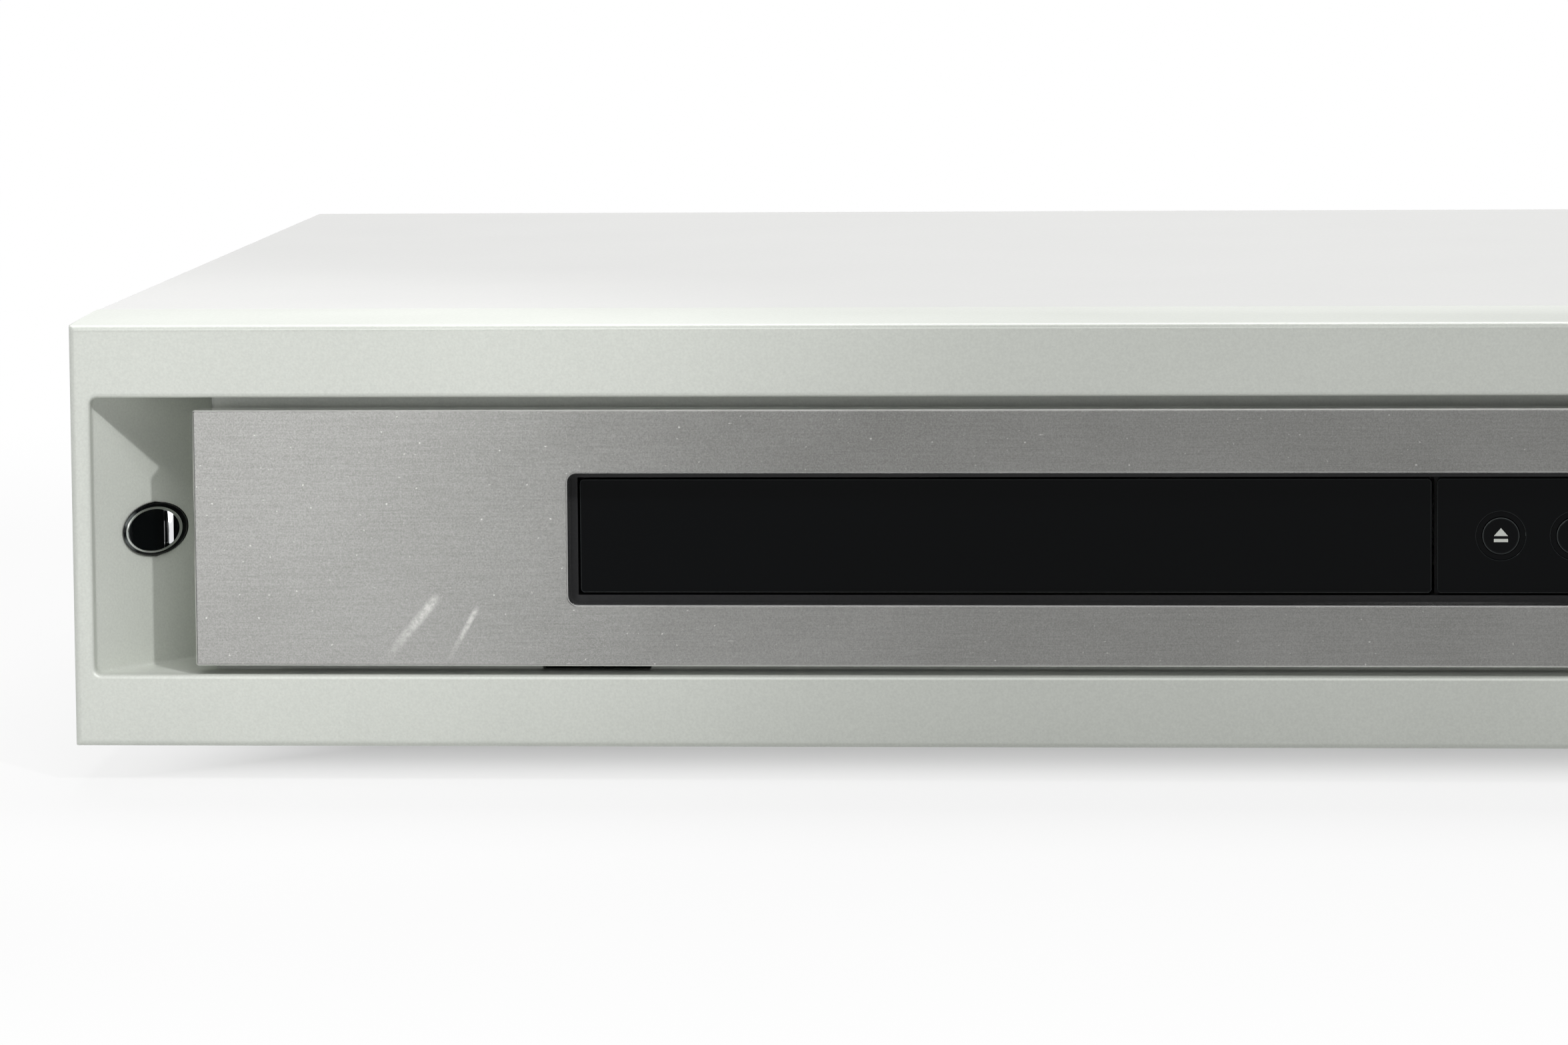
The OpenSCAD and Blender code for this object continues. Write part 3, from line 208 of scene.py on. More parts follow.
class Shader(Nodes):
    """Builds one node material on object coordinates, which are the frame's own metres.

    Further sockets of the shader are given by their names, with _ for a space.
    """

    def __init__(self, name, colour, roughness, metallic=0.0, **sockets):
        self.material = bpy.data.materials.new(name)
        self.material.use_nodes = True
        super().__init__(self.material.node_tree)
        self.shader = self.tree.nodes["Principled BSDF"]
        self.place = self.coordinates("Object")
        self.set("Base Color", (*colour, 1))
        self.set("Roughness", roughness)
        self.set("Metallic", metallic)
        for socket, value in sockets.items():
            self.set(socket.replace("_", " "), value)

    def set(self, socket, value):
        self.shader.inputs[socket].default_value = value

    def link(self, output, socket):
        self.tree.links.new(output, self.shader.inputs[socket])

    def noise(self, size, stretch=(1, 1, 1), detail=3.0, roughness=0.5, shift=0.0):
        """Noise from 0 to 1 whose grains are about size long, times stretch along each axis.

        Noises with another shift have their grains at other places.
        """
        scale = [1 / (size * share) for share in stretch]
        place = self.node("Mapping", self.place, (shift, shift, shift), None, scale).outputs[0]
        made = self.node("TexNoise")
        self.tree.links.new(place, made.inputs["Vector"])
        made.inputs["Scale"].default_value = 1.0
        made.inputs["Detail"].default_value = detail
        made.inputs["Roughness"].default_value = roughness
        return made.outputs["Fac"]

    def spread(self, noise, low=0, high=1, around=NOISE_SPREAD):
        """Maps the range around a noise's middle to another one."""
        return self.span(noise, NOISE_MIDDLE - around, NOISE_MIDDLE + around, low, high)

    def peaks(self, noise, start, full, most=1):
        """0 where a noise is lower than start, and most where it is higher than full."""
        return self.span(noise, start, full, 0, most)

    def mix(self, amount, first, second):
        """A colour between two by an amount from 0 to 1. The first may come from another node."""
        made = self.node("Mix", data_type="RGBA")
        if isinstance(first, tuple):
            first = (*first, 1)
        self.give(made.inputs[MIX_AMOUNT], amount)
        self.give(made.inputs[MIX_FIRST], first)
        self.give(made.inputs[MIX_SECOND], (*second, 1))
        return made.outputs[MIX_RESULT]

    def bump(self, height, depth):
        """Relief of that depth in metres."""
        made = self.node("Bump")
        made.inputs["Distance"].default_value = depth
        self.tree.links.new(height, made.inputs["Height"])
        self.link(made.outputs[0], "Normal")

    def toward_front(self):
        """1 where the surface faces the front or the back, and 0 where it faces a side."""
        return self.math("ABSOLUTE", self.apart(self.coordinates("Normal"))["Y"])

    def scratch(self, start, end, half_width):
        """1 along a line in X and Z, in metres, that fades away at its far end, and 0 beside it."""
        run = math.dist(start, end)
        lean = math.atan2(end[1] - start[1], end[0] - start[0])
        along_it = self.node("Mapping", self.place, (start[0], 0, start[1]), (0, -lean, 0), None,
                             vector_type="TEXTURE").outputs[0]
        along, _, across = self.apart(along_it)
        width = self.span(self.math("ABSOLUTE", across), SCRATCH_CORE * half_width, half_width, 1, 0)
        begin = self.span(along, 0, SCRATCH_BEGIN * run, 0, 1)
        fade = self.span(along, SCRATCH_FADE * run, run, 1, 0)
        return self.math("MULTIPLY", width, self.math("MULTIPLY", begin, fade))


def shade(colour, factor):
    return tuple(min(1.0, c * factor) for c in colour)


def mottled(name, colour, roughness, metallic=0.0, grain=0.4 * MM, depth=0.01 * MM, spread=0.06, **sockets):
    """A moulded or painted surface: fine grain, faint larger clouds and uneven gloss."""
    look = Shader(name, colour, roughness, metallic, **sockets)
    fine = look.noise(grain, detail=2)
    clouds = look.noise(CLOUD_SIZE, detail=2, shift=3.1)
    tone = look.spread(look.weighted((fine, 1 - CLOUD_WEIGHT), (clouds, CLOUD_WEIGHT)))
    look.link(look.mix(tone, shade(colour, 1 - spread), shade(colour, 1 + spread)), "Base Color")
    smoother = roughness * (1 - GLOSS_SPREAD)
    rougher = min(1, roughness * (1 + GLOSS_SPREAD))
    look.link(look.spread(clouds, smoother, rougher), "Roughness")
    look.bump(fine, depth)
    return look.material


def brushed_aluminium():
    """Satin metal brushed along X, with a painted highlight on its rounded edges, specks and a few scratches
    at the left.
    """
    look = Shader("brushed_aluminium", (0.27, 0.27, 0.26), 0.25, 1.0, Anisotropic=0.85)
    # gloss spreads across the brushing
    look.link(look.node("CombineXYZ", 0.0, 0.0, 1.0).outputs[0], "Tangent")
    brushing = look.noise(0.12 * MM, stretch=(60, 1, 1), detail=3)
    clouds = look.noise(25 * MM, detail=3, shift=5.2)
    grain = look.noise(0.22 * MM, detail=1, shift=2.2)
    tone = look.weighted((brushing, 0.25), (clouds, 0.25), (grain, 0.5))
    base = look.mix(look.spread(tone, around=0.15), (0.225, 0.225, 0.215), (0.315, 0.315, 0.305))

    lines = look.largest(*(look.scratch(*scratch) for scratch in SCRATCHES))
    torn = look.span(look.noise(0.5 * MM, detail=2, shift=9.1), 0.35, 0.6, 0.45, 1)
    specks = look.peaks(look.noise(0.6 * MM, detail=0, shift=7.3), 0.81, 0.86, most=0.9)
    worn = look.largest(look.math("MULTIPLY", torn, lines), specks)
    base = look.mix(worn, base, (0.47, 0.47, 0.45))

    # painted highlight: the base colour is made bright on the rounded edges, from where they start to lean
    # back
    edge = look.span(look.toward_front(), 0.80, 0.97, 1, 0)
    look.link(look.mix(edge, base, (0.82, 0.82, 0.81)), "Base Color")
    look.link(look.spread(clouds, 0.24, 0.27), "Roughness")
    look.bump(brushing, 0.0015 * MM)
    return look.material


def gloss_black():
    """Dark polished plastic with dust, and with a painted highlight along the rounded edges at the front."""
    black = (0.0015, 0.002, 0.0025)
    look = Shader("gloss_black", black, 0.06, Specular_IOR_Level=0.07)
    dust = look.noise(1.2 * MM, detail=6, roughness=0.8, shift=4.4)
    smears = look.noise(30 * MM, stretch=(2, 1, 1), detail=3, shift=1.1)
    base = look.mix(look.peaks(dust, 0.72, 0.76), black, (0.07, 0.07, 0.07))
    # painted highlight: a lighter base colour along the middle of the rounding
    facing = look.toward_front()
    edge = look.math("MULTIPLY", look.span(facing, 0.62, 0.72, 0, 1), look.span(facing, 0.90, 0.98, 1, 0))
    look.link(look.mix(edge, base, (0.10, 0.11, 0.11)), "Base Color")
    look.link(look.span(smears, 0.4, 0.7, 0.05, 0.13), "Roughness")
    return look.material


def chrome_plate():
    look = Shader("chrome_plate", (0.80, 0.81, 0.82), 0.05, 1.0)
    haze = look.noise(4 * MM, detail=4)
    look.link(look.span(haze, 0.4, 0.8, 0.03, 0.10), "Roughness")
    return look.material


def zinc_steel():
    look = Shader("zinc_steel", (0.55, 0.56, 0.56), 0.38, 0.9)
    spangle = look.noise(6 * MM, detail=2, shift=2.0)
    fine = look.noise(0.3 * MM, stretch=(1, 8, 1), detail=2)
    tone = look.spread(spangle, around=0.15)
    look.link(look.mix(tone, (0.48, 0.49, 0.50), (0.62, 0.62, 0.60)), "Base Color")
    look.link(look.spread(spangle, 0.32, 0.46), "Roughness")
    look.bump(fine, 0.004 * MM)
    return look.material


def plain_aluminium():
    look = Shader("plain_aluminium", (0.55, 0.56, 0.57), 0.35, 0.95)
    lines = look.noise(0.2 * MM, stretch=(1, 1, 60), detail=2)
    look.link(look.mix(look.spread(lines), (0.50, 0.51, 0.52), (0.61, 0.62, 0.63)), "Base Color")
    look.bump(lines, 0.005 * MM)
    return look.material


def circuit_board():
    """Green lacquer over tracks, with dots of solder."""
    look = Shader("circuit_board", (0.03, 0.16, 0.07), 0.30)
    tracks = look.node("TexBrick")
    scale = (TRACKS_PER_METRE, TRACKS_PER_METRE, TRACKS_PER_METRE)
    place = look.node("Mapping", look.place, None, None, scale).outputs[0]
    look.tree.links.new(place, tracks.inputs["Vector"])
    tracks.inputs["Color1"].default_value = (0.02, 0.12, 0.05, 1)
    tracks.inputs["Color2"].default_value = (0.03, 0.15, 0.06, 1)
    tracks.inputs["Mortar"].default_value = (0.05, 0.22, 0.09, 1)
    tracks.inputs["Scale"].default_value = 1.0
    tracks.inputs["Mortar Size"].default_value = TRACK_LINES
    dots = look.peaks(look.noise(1.4 * MM, detail=0, shift=8.0), 0.70, 0.72)
    look.link(look.mix(dots, tracks.outputs["Color"], (0.62, 0.62, 0.60)), "Base Color")
    look.bump(tracks.outputs["Fac"], TRACK_RELIEF)
    return look.material


def brown_board():
    """Pressed paper board with dots of solder."""
    look = Shader("brown_board", (0.42, 0.30, 0.14), 0.5)
    weave = look.noise(0.6 * MM, stretch=(6, 1, 1), detail=3)
    dots = look.peaks(look.noise(1.8 * MM, detail=0, shift=6.0), 0.70, 0.72)
    base = look.mix(weave, (0.36, 0.25, 0.11), (0.47, 0.34, 0.17))
    look.link(look.mix(dots, base, (0.60, 0.60, 0.57)), "Base Color")
    look.bump(weave, 0.02 * MM)
    return look.material


def clear_lens():
    look = Shader("clear_lens", (0.55, 0.68, 0.85), 0.03, Coat_Weight=1.0)
    tint = look.noise(3 * MM, detail=1)
    look.link(look.mix(tint, (0.30, 0.45, 0.75), (0.55, 0.45, 0.70)), "Base Color")
    return look.material


def yellow_tape():
    look = Shader("yellow_tape", (0.70, 0.55, 0.08), 0.35)
    layers = look.noise(0.5 * MM, stretch=(40, 40, 1), detail=1)
    look.link(look.mix(layers, (0.62, 0.47, 0.05), (0.76, 0.60, 0.11)), "Base Color")
    look.bump(layers, 0.03 * MM)
    return look.material


MATERIALS = {
    "silver_paint": mottled("silver_paint", (0.70, 0.725, 0.675), 0.42, 0.15, grain=0.35 * MM,
                            depth=0.015 * MM, spread=0.07, Specular_IOR_Level=0.35),
    "silver_steel": mottled("silver_steel", (0.69, 0.69, 0.68), 0.6, 0.1, grain=0.5 * MM, spread=0.03),
    "brushed_aluminium": brushed_aluminium(),
    "gloss_black": gloss_black(),
    "chrome_plate": chrome_plate(),
    "zinc_steel": zinc_steel(),
    "screw_steel": mottled("screw_steel", (0.35, 0.35, 0.36), 0.32, 0.95, grain=0.3 * MM, spread=0.15),
    "plain_aluminium": plain_aluminium(),
    "circuit_board": circuit_board(),
    "brown_board": brown_board(),
    "clear_lens": clear_lens(),
    "yellow_tape": yellow_tape(),
    "black_plastic": mottled("black_plastic", (0.012, 0.012, 0.013), 0.5, spread=0.3,
                             Specular_IOR_Level=0.3),
    "display_glass": mottled("display_glass", (0.04, 0.06, 0.06), 0.1, depth=0, spread=0.1),
    "black_rubber": mottled("black_rubber", (0.02, 0.02, 0.02), 0.8, depth=0.03 * MM, spread=0.3),
    "grey_plastic": mottled("grey_plastic", (0.055, 0.056, 0.06), 0.45, spread=0.12),
    "ivory_plastic": mottled("ivory_plastic", (0.72, 0.68, 0.56), 0.4, spread=0.03),
    "white_plastic": mottled("white_plastic", (0.75, 0.75, 0.73), 0.4, spread=0.03),
    "capacitor_sleeve": mottled("capacitor_sleeve", (0.03, 0.05, 0.16), 0.25, spread=0.1),
}
SLOTS = {part["node"]: part["material_slot"] for part in frame["record"]["subparts"]}
BODIES = {node: body for body, nodes in frame["record"]["behaviour"]["bodies"].items() for node in nodes}


def paint(piece, slot):
    piece.data.materials.clear()
    piece.data.materials.append(MATERIALS[slot])


# ---- shapes ----

def flat_areas(shape):
    """The connected sets of faces that lie in one plane."""
    shape.faces.index_update()
    seen = set()
    for first in shape.faces:
        if first.index in seen:
            continue
        seen.add(first.index)
        area = [first]
        for face in area:
            for other in (o for edge in face.edges for o in edge.link_faces):
                if other.index not in seen and other.normal.angle(first.normal, math.pi) < FLAT_ANGLE:
                    seen.add(other.index)
                    area.append(other)
        yield area


def box_of(places):
    low, high = (Vector([pick(p[axis] for p in places) for axis in range(3)]) for pick in (min, max))
    return low, high


def once(items):
    """Each item once, in the order of the items. A set would give them in another order in each run."""
    return list(dict.fromkeys(items))


def borders(area):
    """The boxes of the closed lines that bound a flat area, the largest first."""
    faces = set(area)
    edges = once(e for f in area for e in f.edges if sum(g in faces for g in e.link_faces) == 1)
    free = set(edges)
    found = []
    for first in edges:
        if first not in free:
            continue
        free.remove(first)
        line = [first]
        for edge in line:
            joined = once(e for v in edge.verts for e in v.link_edges if e in free)
            free.difference_update(joined)
            line += joined
        found.append(box_of([v.co for edge in line for v in edge.verts]))
    return sorted(found, key=lambda box: -(box[1] - box[0]).length)


def open_holes(shape):
    """Cuts each flat area that has holes across their middles, so that no face has to go around a hole."""
    for area in list(flat_areas(shape)):
        (low, high), *holes = borders(area)
        longest = max(range(3), key=lambda axis: high[axis] - low[axis])
        across = Vector([float(axis == longest) for axis in range(3)])
        for hole_low, hole_high in holes:
            edges = once(e for f in area for e in f.edges)
            points = once(v for f in area for v in f.verts)
            made = bmesh.ops.bisect_plane(shape, geom=[*area, *edges, *points], dist=CUT_FIT, plane_no=across,
                                          plane_co=(hole_low + hole_high) / 2)
            area = [part for part in made["geom"] if isinstance(part, bmesh.types.BMFace)]
            for part in made["geom_cut"]:
                if isinstance(part, bmesh.types.BMEdge):
                    part.seam = True


def shade_faces(shape):
    """Flat faces stay flat, and curved ones are shaded smooth up to their sharp edges."""
    for face in shape.faces:
        face.smooth = False
    for edge in shape.edges:
        turn = edge.calc_face_angle(math.pi)
        edge.smooth = turn < SMOOTH_ANGLE
        if FLAT_ANGLE < turn < SMOOTH_ANGLE:
            for face in edge.link_faces:
                face.smooth = True


def piece(name, mesh, slot, body):
    made = bpy.data.objects.new(name, mesh)
    scene.collection.objects.link(made)
    paint(made, slot)
    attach(made, body)
    return made


def rounded(node, width, share=None):
    """A copy of a node with its sharp edges rounded, which stands for that node.

    share gives how much of the width an edge gets, from its middle, and without it all edges get it.
    """
    mesh = frame["nodes"][node].data.copy()
    shape = bmesh.new()
    shape.from_mesh(mesh)
    bmesh.ops.remove_doubles(shape, verts=shape.verts, dist=MESH_FIT)
    shape.normal_update()
    open_holes(shape)
    bmesh.ops.dissolve_limit(shape, angle_limit=MERGED_ANGLE, verts=shape.verts, edges=shape.edges,
                             delimit={"SEAM"})
    shade_faces(shape)
    if share:
        weights = shape.edges.layers.float.new("bevel_weight_edge")
        for edge in shape.edges:
            if edge.calc_face_angle(math.pi) > ROUNDED_ANGLE:
                edge[weights] = share((edge.verts[0].co + edge.verts[1].co) / 2)
    shape.to_mesh(mesh)
    shape.free()
    made = piece(node + "_shell", mesh, SLOTS[node], BODIES[node])
    bevel = made.modifiers.new("edges", "BEVEL")
    bevel.width = width
    bevel.segments = 3
    bevel.limit_method = "WEIGHT" if share else "ANGLE"
    bevel.angle_limit = ROUNDED_ANGLE
    bevel.use_clamp_overlap = False
    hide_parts(node)
    return made


def at_front_of(node, reach=0.05 * MM, behind=0.0, behind_reach=0.0):
    """All of the rounding for edges in a node's front plane, and the share behind for those near it."""
    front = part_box(node)[0].y

    def share(edge_middle):
        if edge_middle.y < front + reach:
            return 1.0
        return behind if edge_middle.y < front + behind_reach else 0.0
    return share


# A place takes a point across, up and out of the surface that a piece stands on, and how far it leans with
# that surface, all in millimetres, and gives its place in the frame.

def facing_front(x, z, y):
    return lambda across, up, out, lean=0: Vector((x + across * MM, y - out * MM, z + up * MM))


def facing_back(x, z, y):
    return lambda across, up, out, lean=0: Vector((x - across * MM, y + out * MM, z + up * MM))


def facing_down(x, y, z):
    return lambda across, up, out, lean=0: Vector((x + across * MM, y + up * MM, z - out * MM))


def on_slope(x, z, y, slope):
    """On a face that goes back as it goes to the right."""
    def place(across, up, out, lean=1):
        return Vector((x + across * MM, y + (lean * slope * across - out) * MM, z + up * MM))
    return place


def turned(name, profile, places, slot, body, steps=64):
    """A piece turned about an axis at each place, from a profile of (radius, out, lean) in millimetres.

    A profile that doesn't end on the axis is closed back to its start.
    """
    shape = bmesh.new()
    for place in places:
        rings = []
        for radius, *height in profile:
            count = steps if radius else 1
            turns = [math.tau * i / count for i in range(count)]
            rings.append([shape.verts.new(place(radius * math.cos(t), radius * math.sin(t), *height))
                          for t in turns])
        if len(rings[-1]) > 1:
            rings.append(rings[0])
        for ring, following in zip(rings, rings[1:]):
            for i in range(steps):
                corners = [ring[i % len(ring)], ring[(i + 1) % len(ring)],
                           following[(i + 1) % len(following)], following[i % len(following)]]
                shape.faces.new(list(dict.fromkeys(corners)))
    return built(name, shape, slot, body)


def built(name, shape, slot, body):
    bmesh.ops.recalc_face_normals(shape, faces=shape.faces)
    shade_faces(shape)
    mesh = bpy.data.meshes.new(name)
    shape.to_mesh(mesh)
    shape.free()
    return piece(name, mesh, slot, body)


def plate(name, outlines, low, high, edge, places, slot, body):
    """Flat plates with rounded edges, cut to outlines of which the inner ones are holes."""
    curve = bpy.data.curves.new(name, "CURVE")
    curve.dimensions = "2D"
    curve.fill_mode = "BOTH"
    curve.extrude = (high - low) / 2 - edge
    curve.bevel_depth = edge
    curve.bevel_resolution = 2
    curve.offset = -edge
    for outline in outlines:
        spline = curve.splines.new("POLY")
        spline.points.add(len(outline) - 1)
        spline.use_cyclic_u = True
        for point, (across, up) in zip(spline.points, outline):
            point.co = (across, up, 0, 1)
    drawing = bpy.data.objects.new(name, curve)
    flat = bpy.data.meshes.new_from_object(drawing)
    bpy.data.objects.remove(drawing)
    bpy.data.curves.remove(curve)
    shape = bmesh.new()
    for place in places:
        first = len(shape.verts)
        shape.from_mesh(flat)
        shape.verts.ensure_lookup_table()
        for vertex in shape.verts[first:]:
            across, up, out = vertex.co
            vertex.co = place(across, up, out + (low + high) / 2)
    bmesh.ops.remove_doubles(shape, verts=shape.verts, dist=PLATE_FIT)
    bpy.data.meshes.remove(flat)
    return built(name, shape, slot, body)


def circle(radius, steps=48):
    return [(radius * math.cos(math.tau * i / steps), radius * math.sin(math.tau * i / steps))
            for i in range(steps)]


def rectangle(left, right, bottom, top):
    return [(left, bottom), (right, bottom), (right, top), (left, top)]


def chord(radius, left, right, steps=24, nearest=0.01):
    """The part of a disc between two upright lines, without points nearer to the last one than nearest."""
    upper = []
    for i in range(steps + 1):
        across = right + (left - right) * i / steps
        upper.append((across, math.sqrt(max(0, radius * radius - across * across))))
    lower = [(across, -up) for across, up in reversed(upper)]
    outline = upper + lower
    return [point for i, point in enumerate(outline) if math.dist(point, outline[i - 1]) > nearest]


# ---- pieces from the frame, with their edges rounded ----

# Width of the rounding of each node's edges, and which edges get it where it isn't all of them
ROUNDED = {
    "front_bezel": (0.7 * MM, at_front_of("front_bezel", behind=0.4, behind_reach=14 * MM)),
    "front_trim": (0.35 * MM, None),
    "tray_door": (0.2 * MM, None),
    "control_lens": (0.15 * MM, at_front_of("control_lens")),
    "top_cover": (0.4 * MM, None),
    "base_pan": (0.4 * MM, None),
    "rear_panel": (0.2 * MM, None),
    "feet": (1.2 * MM, None),
    "tray": (0.3 * MM, None),
    "loader_frame": (0.2 * MM, None),
    "clamp_bridge": (0.3 * MM, None),
    "clamp_puck": (0.4 * MM, None),
    "turntable": (0.2 * MM, None),
    "pickup_sled": (0.2 * MM, None),
    "tv_sockets": (0.3 * MM, None),
    "av_jacks": (0.3 * MM, None),
    "mains_inlet": (0.3 * MM, None),
    "tuner_box": (0.4 * MM, None),
}
BUTTON_ROUNDING = 0.25 * MM
for button in ("eject", "play", "pause", "stop", "record"):
    ROUNDED[button + "_button"] = (BUTTON_ROUNDING, None)

shells = {node: rounded(node, *how) for node, how in ROUNDED.items()}


# ---- pieces of the scene's own, whose sizes are in millimetres ----

# How far a piece reaches into what it stands on
SINK = 0.05

# Signs on the control buttons, about their middles, and the plates that they are
BAR = 0.35
SIGNS = {
    "eject": [[(-1.1, 0.0), (1.1, 0.0), (0.0, 1.25)], rectangle(-1.1, 1.1, -0.95, -0.45)],
    "play": [[(-0.8, -1.05), (1.15, 0.0), (-0.8, 1.05)]],
    "pause": [rectangle(-0.95, -0.95 + 2 * BAR, -1.0, 1.0), rectangle(0.95 - 2 * BAR, 0.95, -1.0, 1.0)],
    "stop": [rectangle(-0.9, 0.9, -0.9, 0.9)],
    "record": [circle(0.95)],
}
SIGN_LOW = -0.02
SIGN_HIGH = 0.05
SIGN_EDGE = 0.01


def button_signs():
    for button, outlines in SIGNS.items():
        node = button + "_button"
        place = facing_front(middle(node).x, middle(node).z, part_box(node)[0].y)
        plate(button + "_sign", outlines, SIGN_LOW, SIGN_HIGH, SIGN_EDGE, [place], "silver_paint",
              BODIES[node])


# Hollow fillets between the recess's sloping end walls and its floor
FILLET_R = 0.55
FILLET_STEPS = 8
RECESS_FLOOR = 17.4          # height of the recess's floor
WALL_FROM = (208.9, 4.88)    # half width and depth behind the front where a fillet starts
WALL_TO = (192.5, 27.84)     # and where it ends


def recess_fillets():
    run = math.dist(WALL_FROM, WALL_TO)
    inwards = ((WALL_TO[1] - WALL_FROM[1]) / run, (WALL_FROM[0] - WALL_TO[0]) / run)
    section = [(-SINK, -SINK)]
    for i in range(FILLET_STEPS + 1):
        turn = math.pi / 2 * i / FILLET_STEPS
        section.append((FILLET_R * (1 - math.cos(turn)), FILLET_R * (1 - math.sin(turn))))
    shape = bmesh.new()
    for side in (-1, 1):
        ends = []
        for half, depth in (WALL_FROM, WALL_TO):
            end = []
            for off, up in section:
                x = side * (half - off * inwards[0]) * MM
                y = front_y + (depth - off * inwards[1]) * MM
                end.append(shape.verts.new((x, y, (RECESS_FLOOR + up) * MM)))
            ends.append(end)
        for i in range(len(section)):
            shape.faces.new([ends[0][i - 1], ends[0][i], ends[1][i], ends[1][i - 1]])
        for end in ends:
            shape.faces.new(end)
    built("recess_fillets", shape, "silver_paint", BODIES["front_bezel"])


# The power button, whose face lies parallel to the sloping wall
POWER_FACE = 12.03           # depth of the face's middle behind the front
POWER_SLOPE = 1.4
POWER_R = 4.15
SHOULDER_LOW = -0.85         # the shoulder outside the ring slopes down to here
SHOULDER_EDGE = (0.05, 0.15)
WELL_FLOOR = -1.6            # floor of the well inside the ring, which the face fills beside the notch
COLLAR_R = POWER_R + 0.7
COLLAR_HIGH = -14.27
COLLAR_LOW = -15.27
STEM_R = 1.8
STEM_END = -19.97
RING_OUT_R = 3.65
RING_IN_R = 3.3
RING_HIGH = 0.30             # the ring's face slopes down outwards from here
RING_LOW = -0.22
RING_IN_EDGE = (0.03, 0.06)
RING_OUT_EDGE = (0.02, 0.04)
FACE_HIGH = 0.08
FACE_EDGE = 0.04
SLIVER_HIGH = 0.0            # the part of the face at the right of the notch
SLIVER_EDGE = 0.02
NOTCH_LEFT = 1.27
NOTCH_RIGHT = 2.48
NOTCH_SLOPE = -0.07          # its floor turns a little to the left
NOTCH_THICK = 0.3
NOTCH_EDGE = 0.01
NOTCH_UNDER = (0.05, 0.02)   # how far its floor reaches under the face at the left and at the right


def power_button():
    mid = middle("power_button")
    body = BODIES["power_button"]
    face = on_slope(mid.x, mid.z, front_y + POWER_FACE * MM, POWER_SLOPE)
    floor_depth = POWER_FACE + (POWER_SLOPE - NOTCH_SLOPE) * NOTCH_RIGHT
    notch_floor = on_slope(mid.x, mid.z, front_y + floor_depth * MM, NOTCH_SLOPE)
    rod = turned("power_rod", [
        (0, WELL_FLOOR, 1), (RING_IN_R, WELL_FLOOR, 1),
        (RING_IN_R, RING_LOW, 1), (RING_OUT_R, RING_LOW, 1),
        (POWER_R - SHOULDER_EDGE[0], SHOULDER_LOW, 1), (POWER_R, SHOULDER_LOW - SHOULDER_EDGE[1], 1),
        (POWER_R, COLLAR_HIGH, 0), (COLLAR_R, COLLAR_HIGH, 0),
        (COLLAR_R, COLLAR_LOW, 0), (STEM_R, COLLAR_LOW, 0),
        (STEM_R, STEM_END, 0), (0, STEM_END, 0),
    ], [face], "gloss_black", body)
    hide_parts("power_button")
    turned("power_ring", [
        (RING_IN_R, RING_LOW - SINK),
        (RING_IN_R, RING_HIGH - RING_IN_EDGE[1]), (RING_IN_R + RING_IN_EDGE[0], RING_HIGH),
        (RING_OUT_R - RING_OUT_EDGE[0], RING_LOW + RING_OUT_EDGE[1]), (RING_OUT_R, RING_LOW),
        (RING_OUT_R, RING_LOW - SINK),
    ], [face], "chrome_plate", body)
    plate("power_face", [chord(RING_IN_R, -RING_IN_R, NOTCH_LEFT)], WELL_FLOOR - SINK, FACE_HIGH, FACE_EDGE,
          [face], "gloss_black", body)
    plate("power_face_edge", [chord(RING_IN_R, NOTCH_RIGHT, RING_IN_R)], WELL_FLOOR - SINK, SLIVER_HIGH,
          SLIVER_EDGE, [face], "gloss_black", body)
    notch = chord(RING_IN_R, NOTCH_LEFT - NOTCH_UNDER[0], NOTCH_RIGHT + NOTCH_UNDER[1])
    plate("power_notch", [notch], -NOTCH_THICK, 0.0, NOTCH_EDGE, [notch_floor], "chrome_plate", body)


# Screws: three at the rear and four below, with cross recesses
SCREW_R = 1.5
SCREW_LENGTH = 5
HEAD_R = 3.0
HEAD_ROUNDING = ((0.0, 0.7), (0.15, 1.0), (0.5, 1.25))    # steps in from the head's rim, and their heights
CROWN_IN = 0.55              # the crown is a plate on the head, with the cross cut through it
CROWN_LOW = 1.15
CROWN_HIGH = 1.8
CROWN_EDGE = 0.12
CROSS_ARM = 1.5
CROSS_HALF = 0.35
REAR_SCREWS_X = (-175, 0, 175)
LOADER_SCREWS_X = 66         # from the tray's middle
LOADER_SCREWS_DEPTH = (42, 170)


def screw_places():
    rear_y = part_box("top_cover")[1].y
    rear_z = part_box("case_screws")[1].z - HEAD_R * MM
    base_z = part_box("base_pan")[0].z
    loader_x = middle("tray").x
    places = [facing_back(x * MM, rear_z, rear_y) for x in REAR_SCREWS_X]
    for side in (-1, 1):
        for depth in LOADER_SCREWS_DEPTH:
            places.append(facing_down(loader_x + side * LOADER_SCREWS_X * MM, front_y + depth * MM, base_z))
    return places


def cross_outline():
    quarter = [(CROSS_HALF, CROSS_ARM), (CROSS_HALF, CROSS_HALF), (CROSS_ARM, CROSS_HALF)]
    outline = []
    for turn in range(4):
        angle = -math.tau * turn / 4
        outline += [(x * math.cos(angle) - y * math.sin(angle), x * math.sin(angle) + y * math.cos(angle))
                    for x, y in quarter]
    return outline


def screws():
    places = screw_places()
    body = BODIES["case_screws"]
    profile = [(0, -SCREW_LENGTH), (SCREW_R, -SCREW_LENGTH), (SCREW_R, 0), (HEAD_R, 0)]
    profile += [(HEAD_R - step, height) for step, height in HEAD_ROUNDING]
    profile.append((0, HEAD_ROUNDING[-1][1]))
    heads = turned("case_screws_shell", profile, places, "screw_steel", body, steps=32)
    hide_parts("case_screws")
    plate("screw_crowns", [circle(HEAD_R - CROWN_IN), cross_outline()], CROWN_LOW, CROWN_HIGH, CROWN_EDGE,
          places, "screw_steel", body)


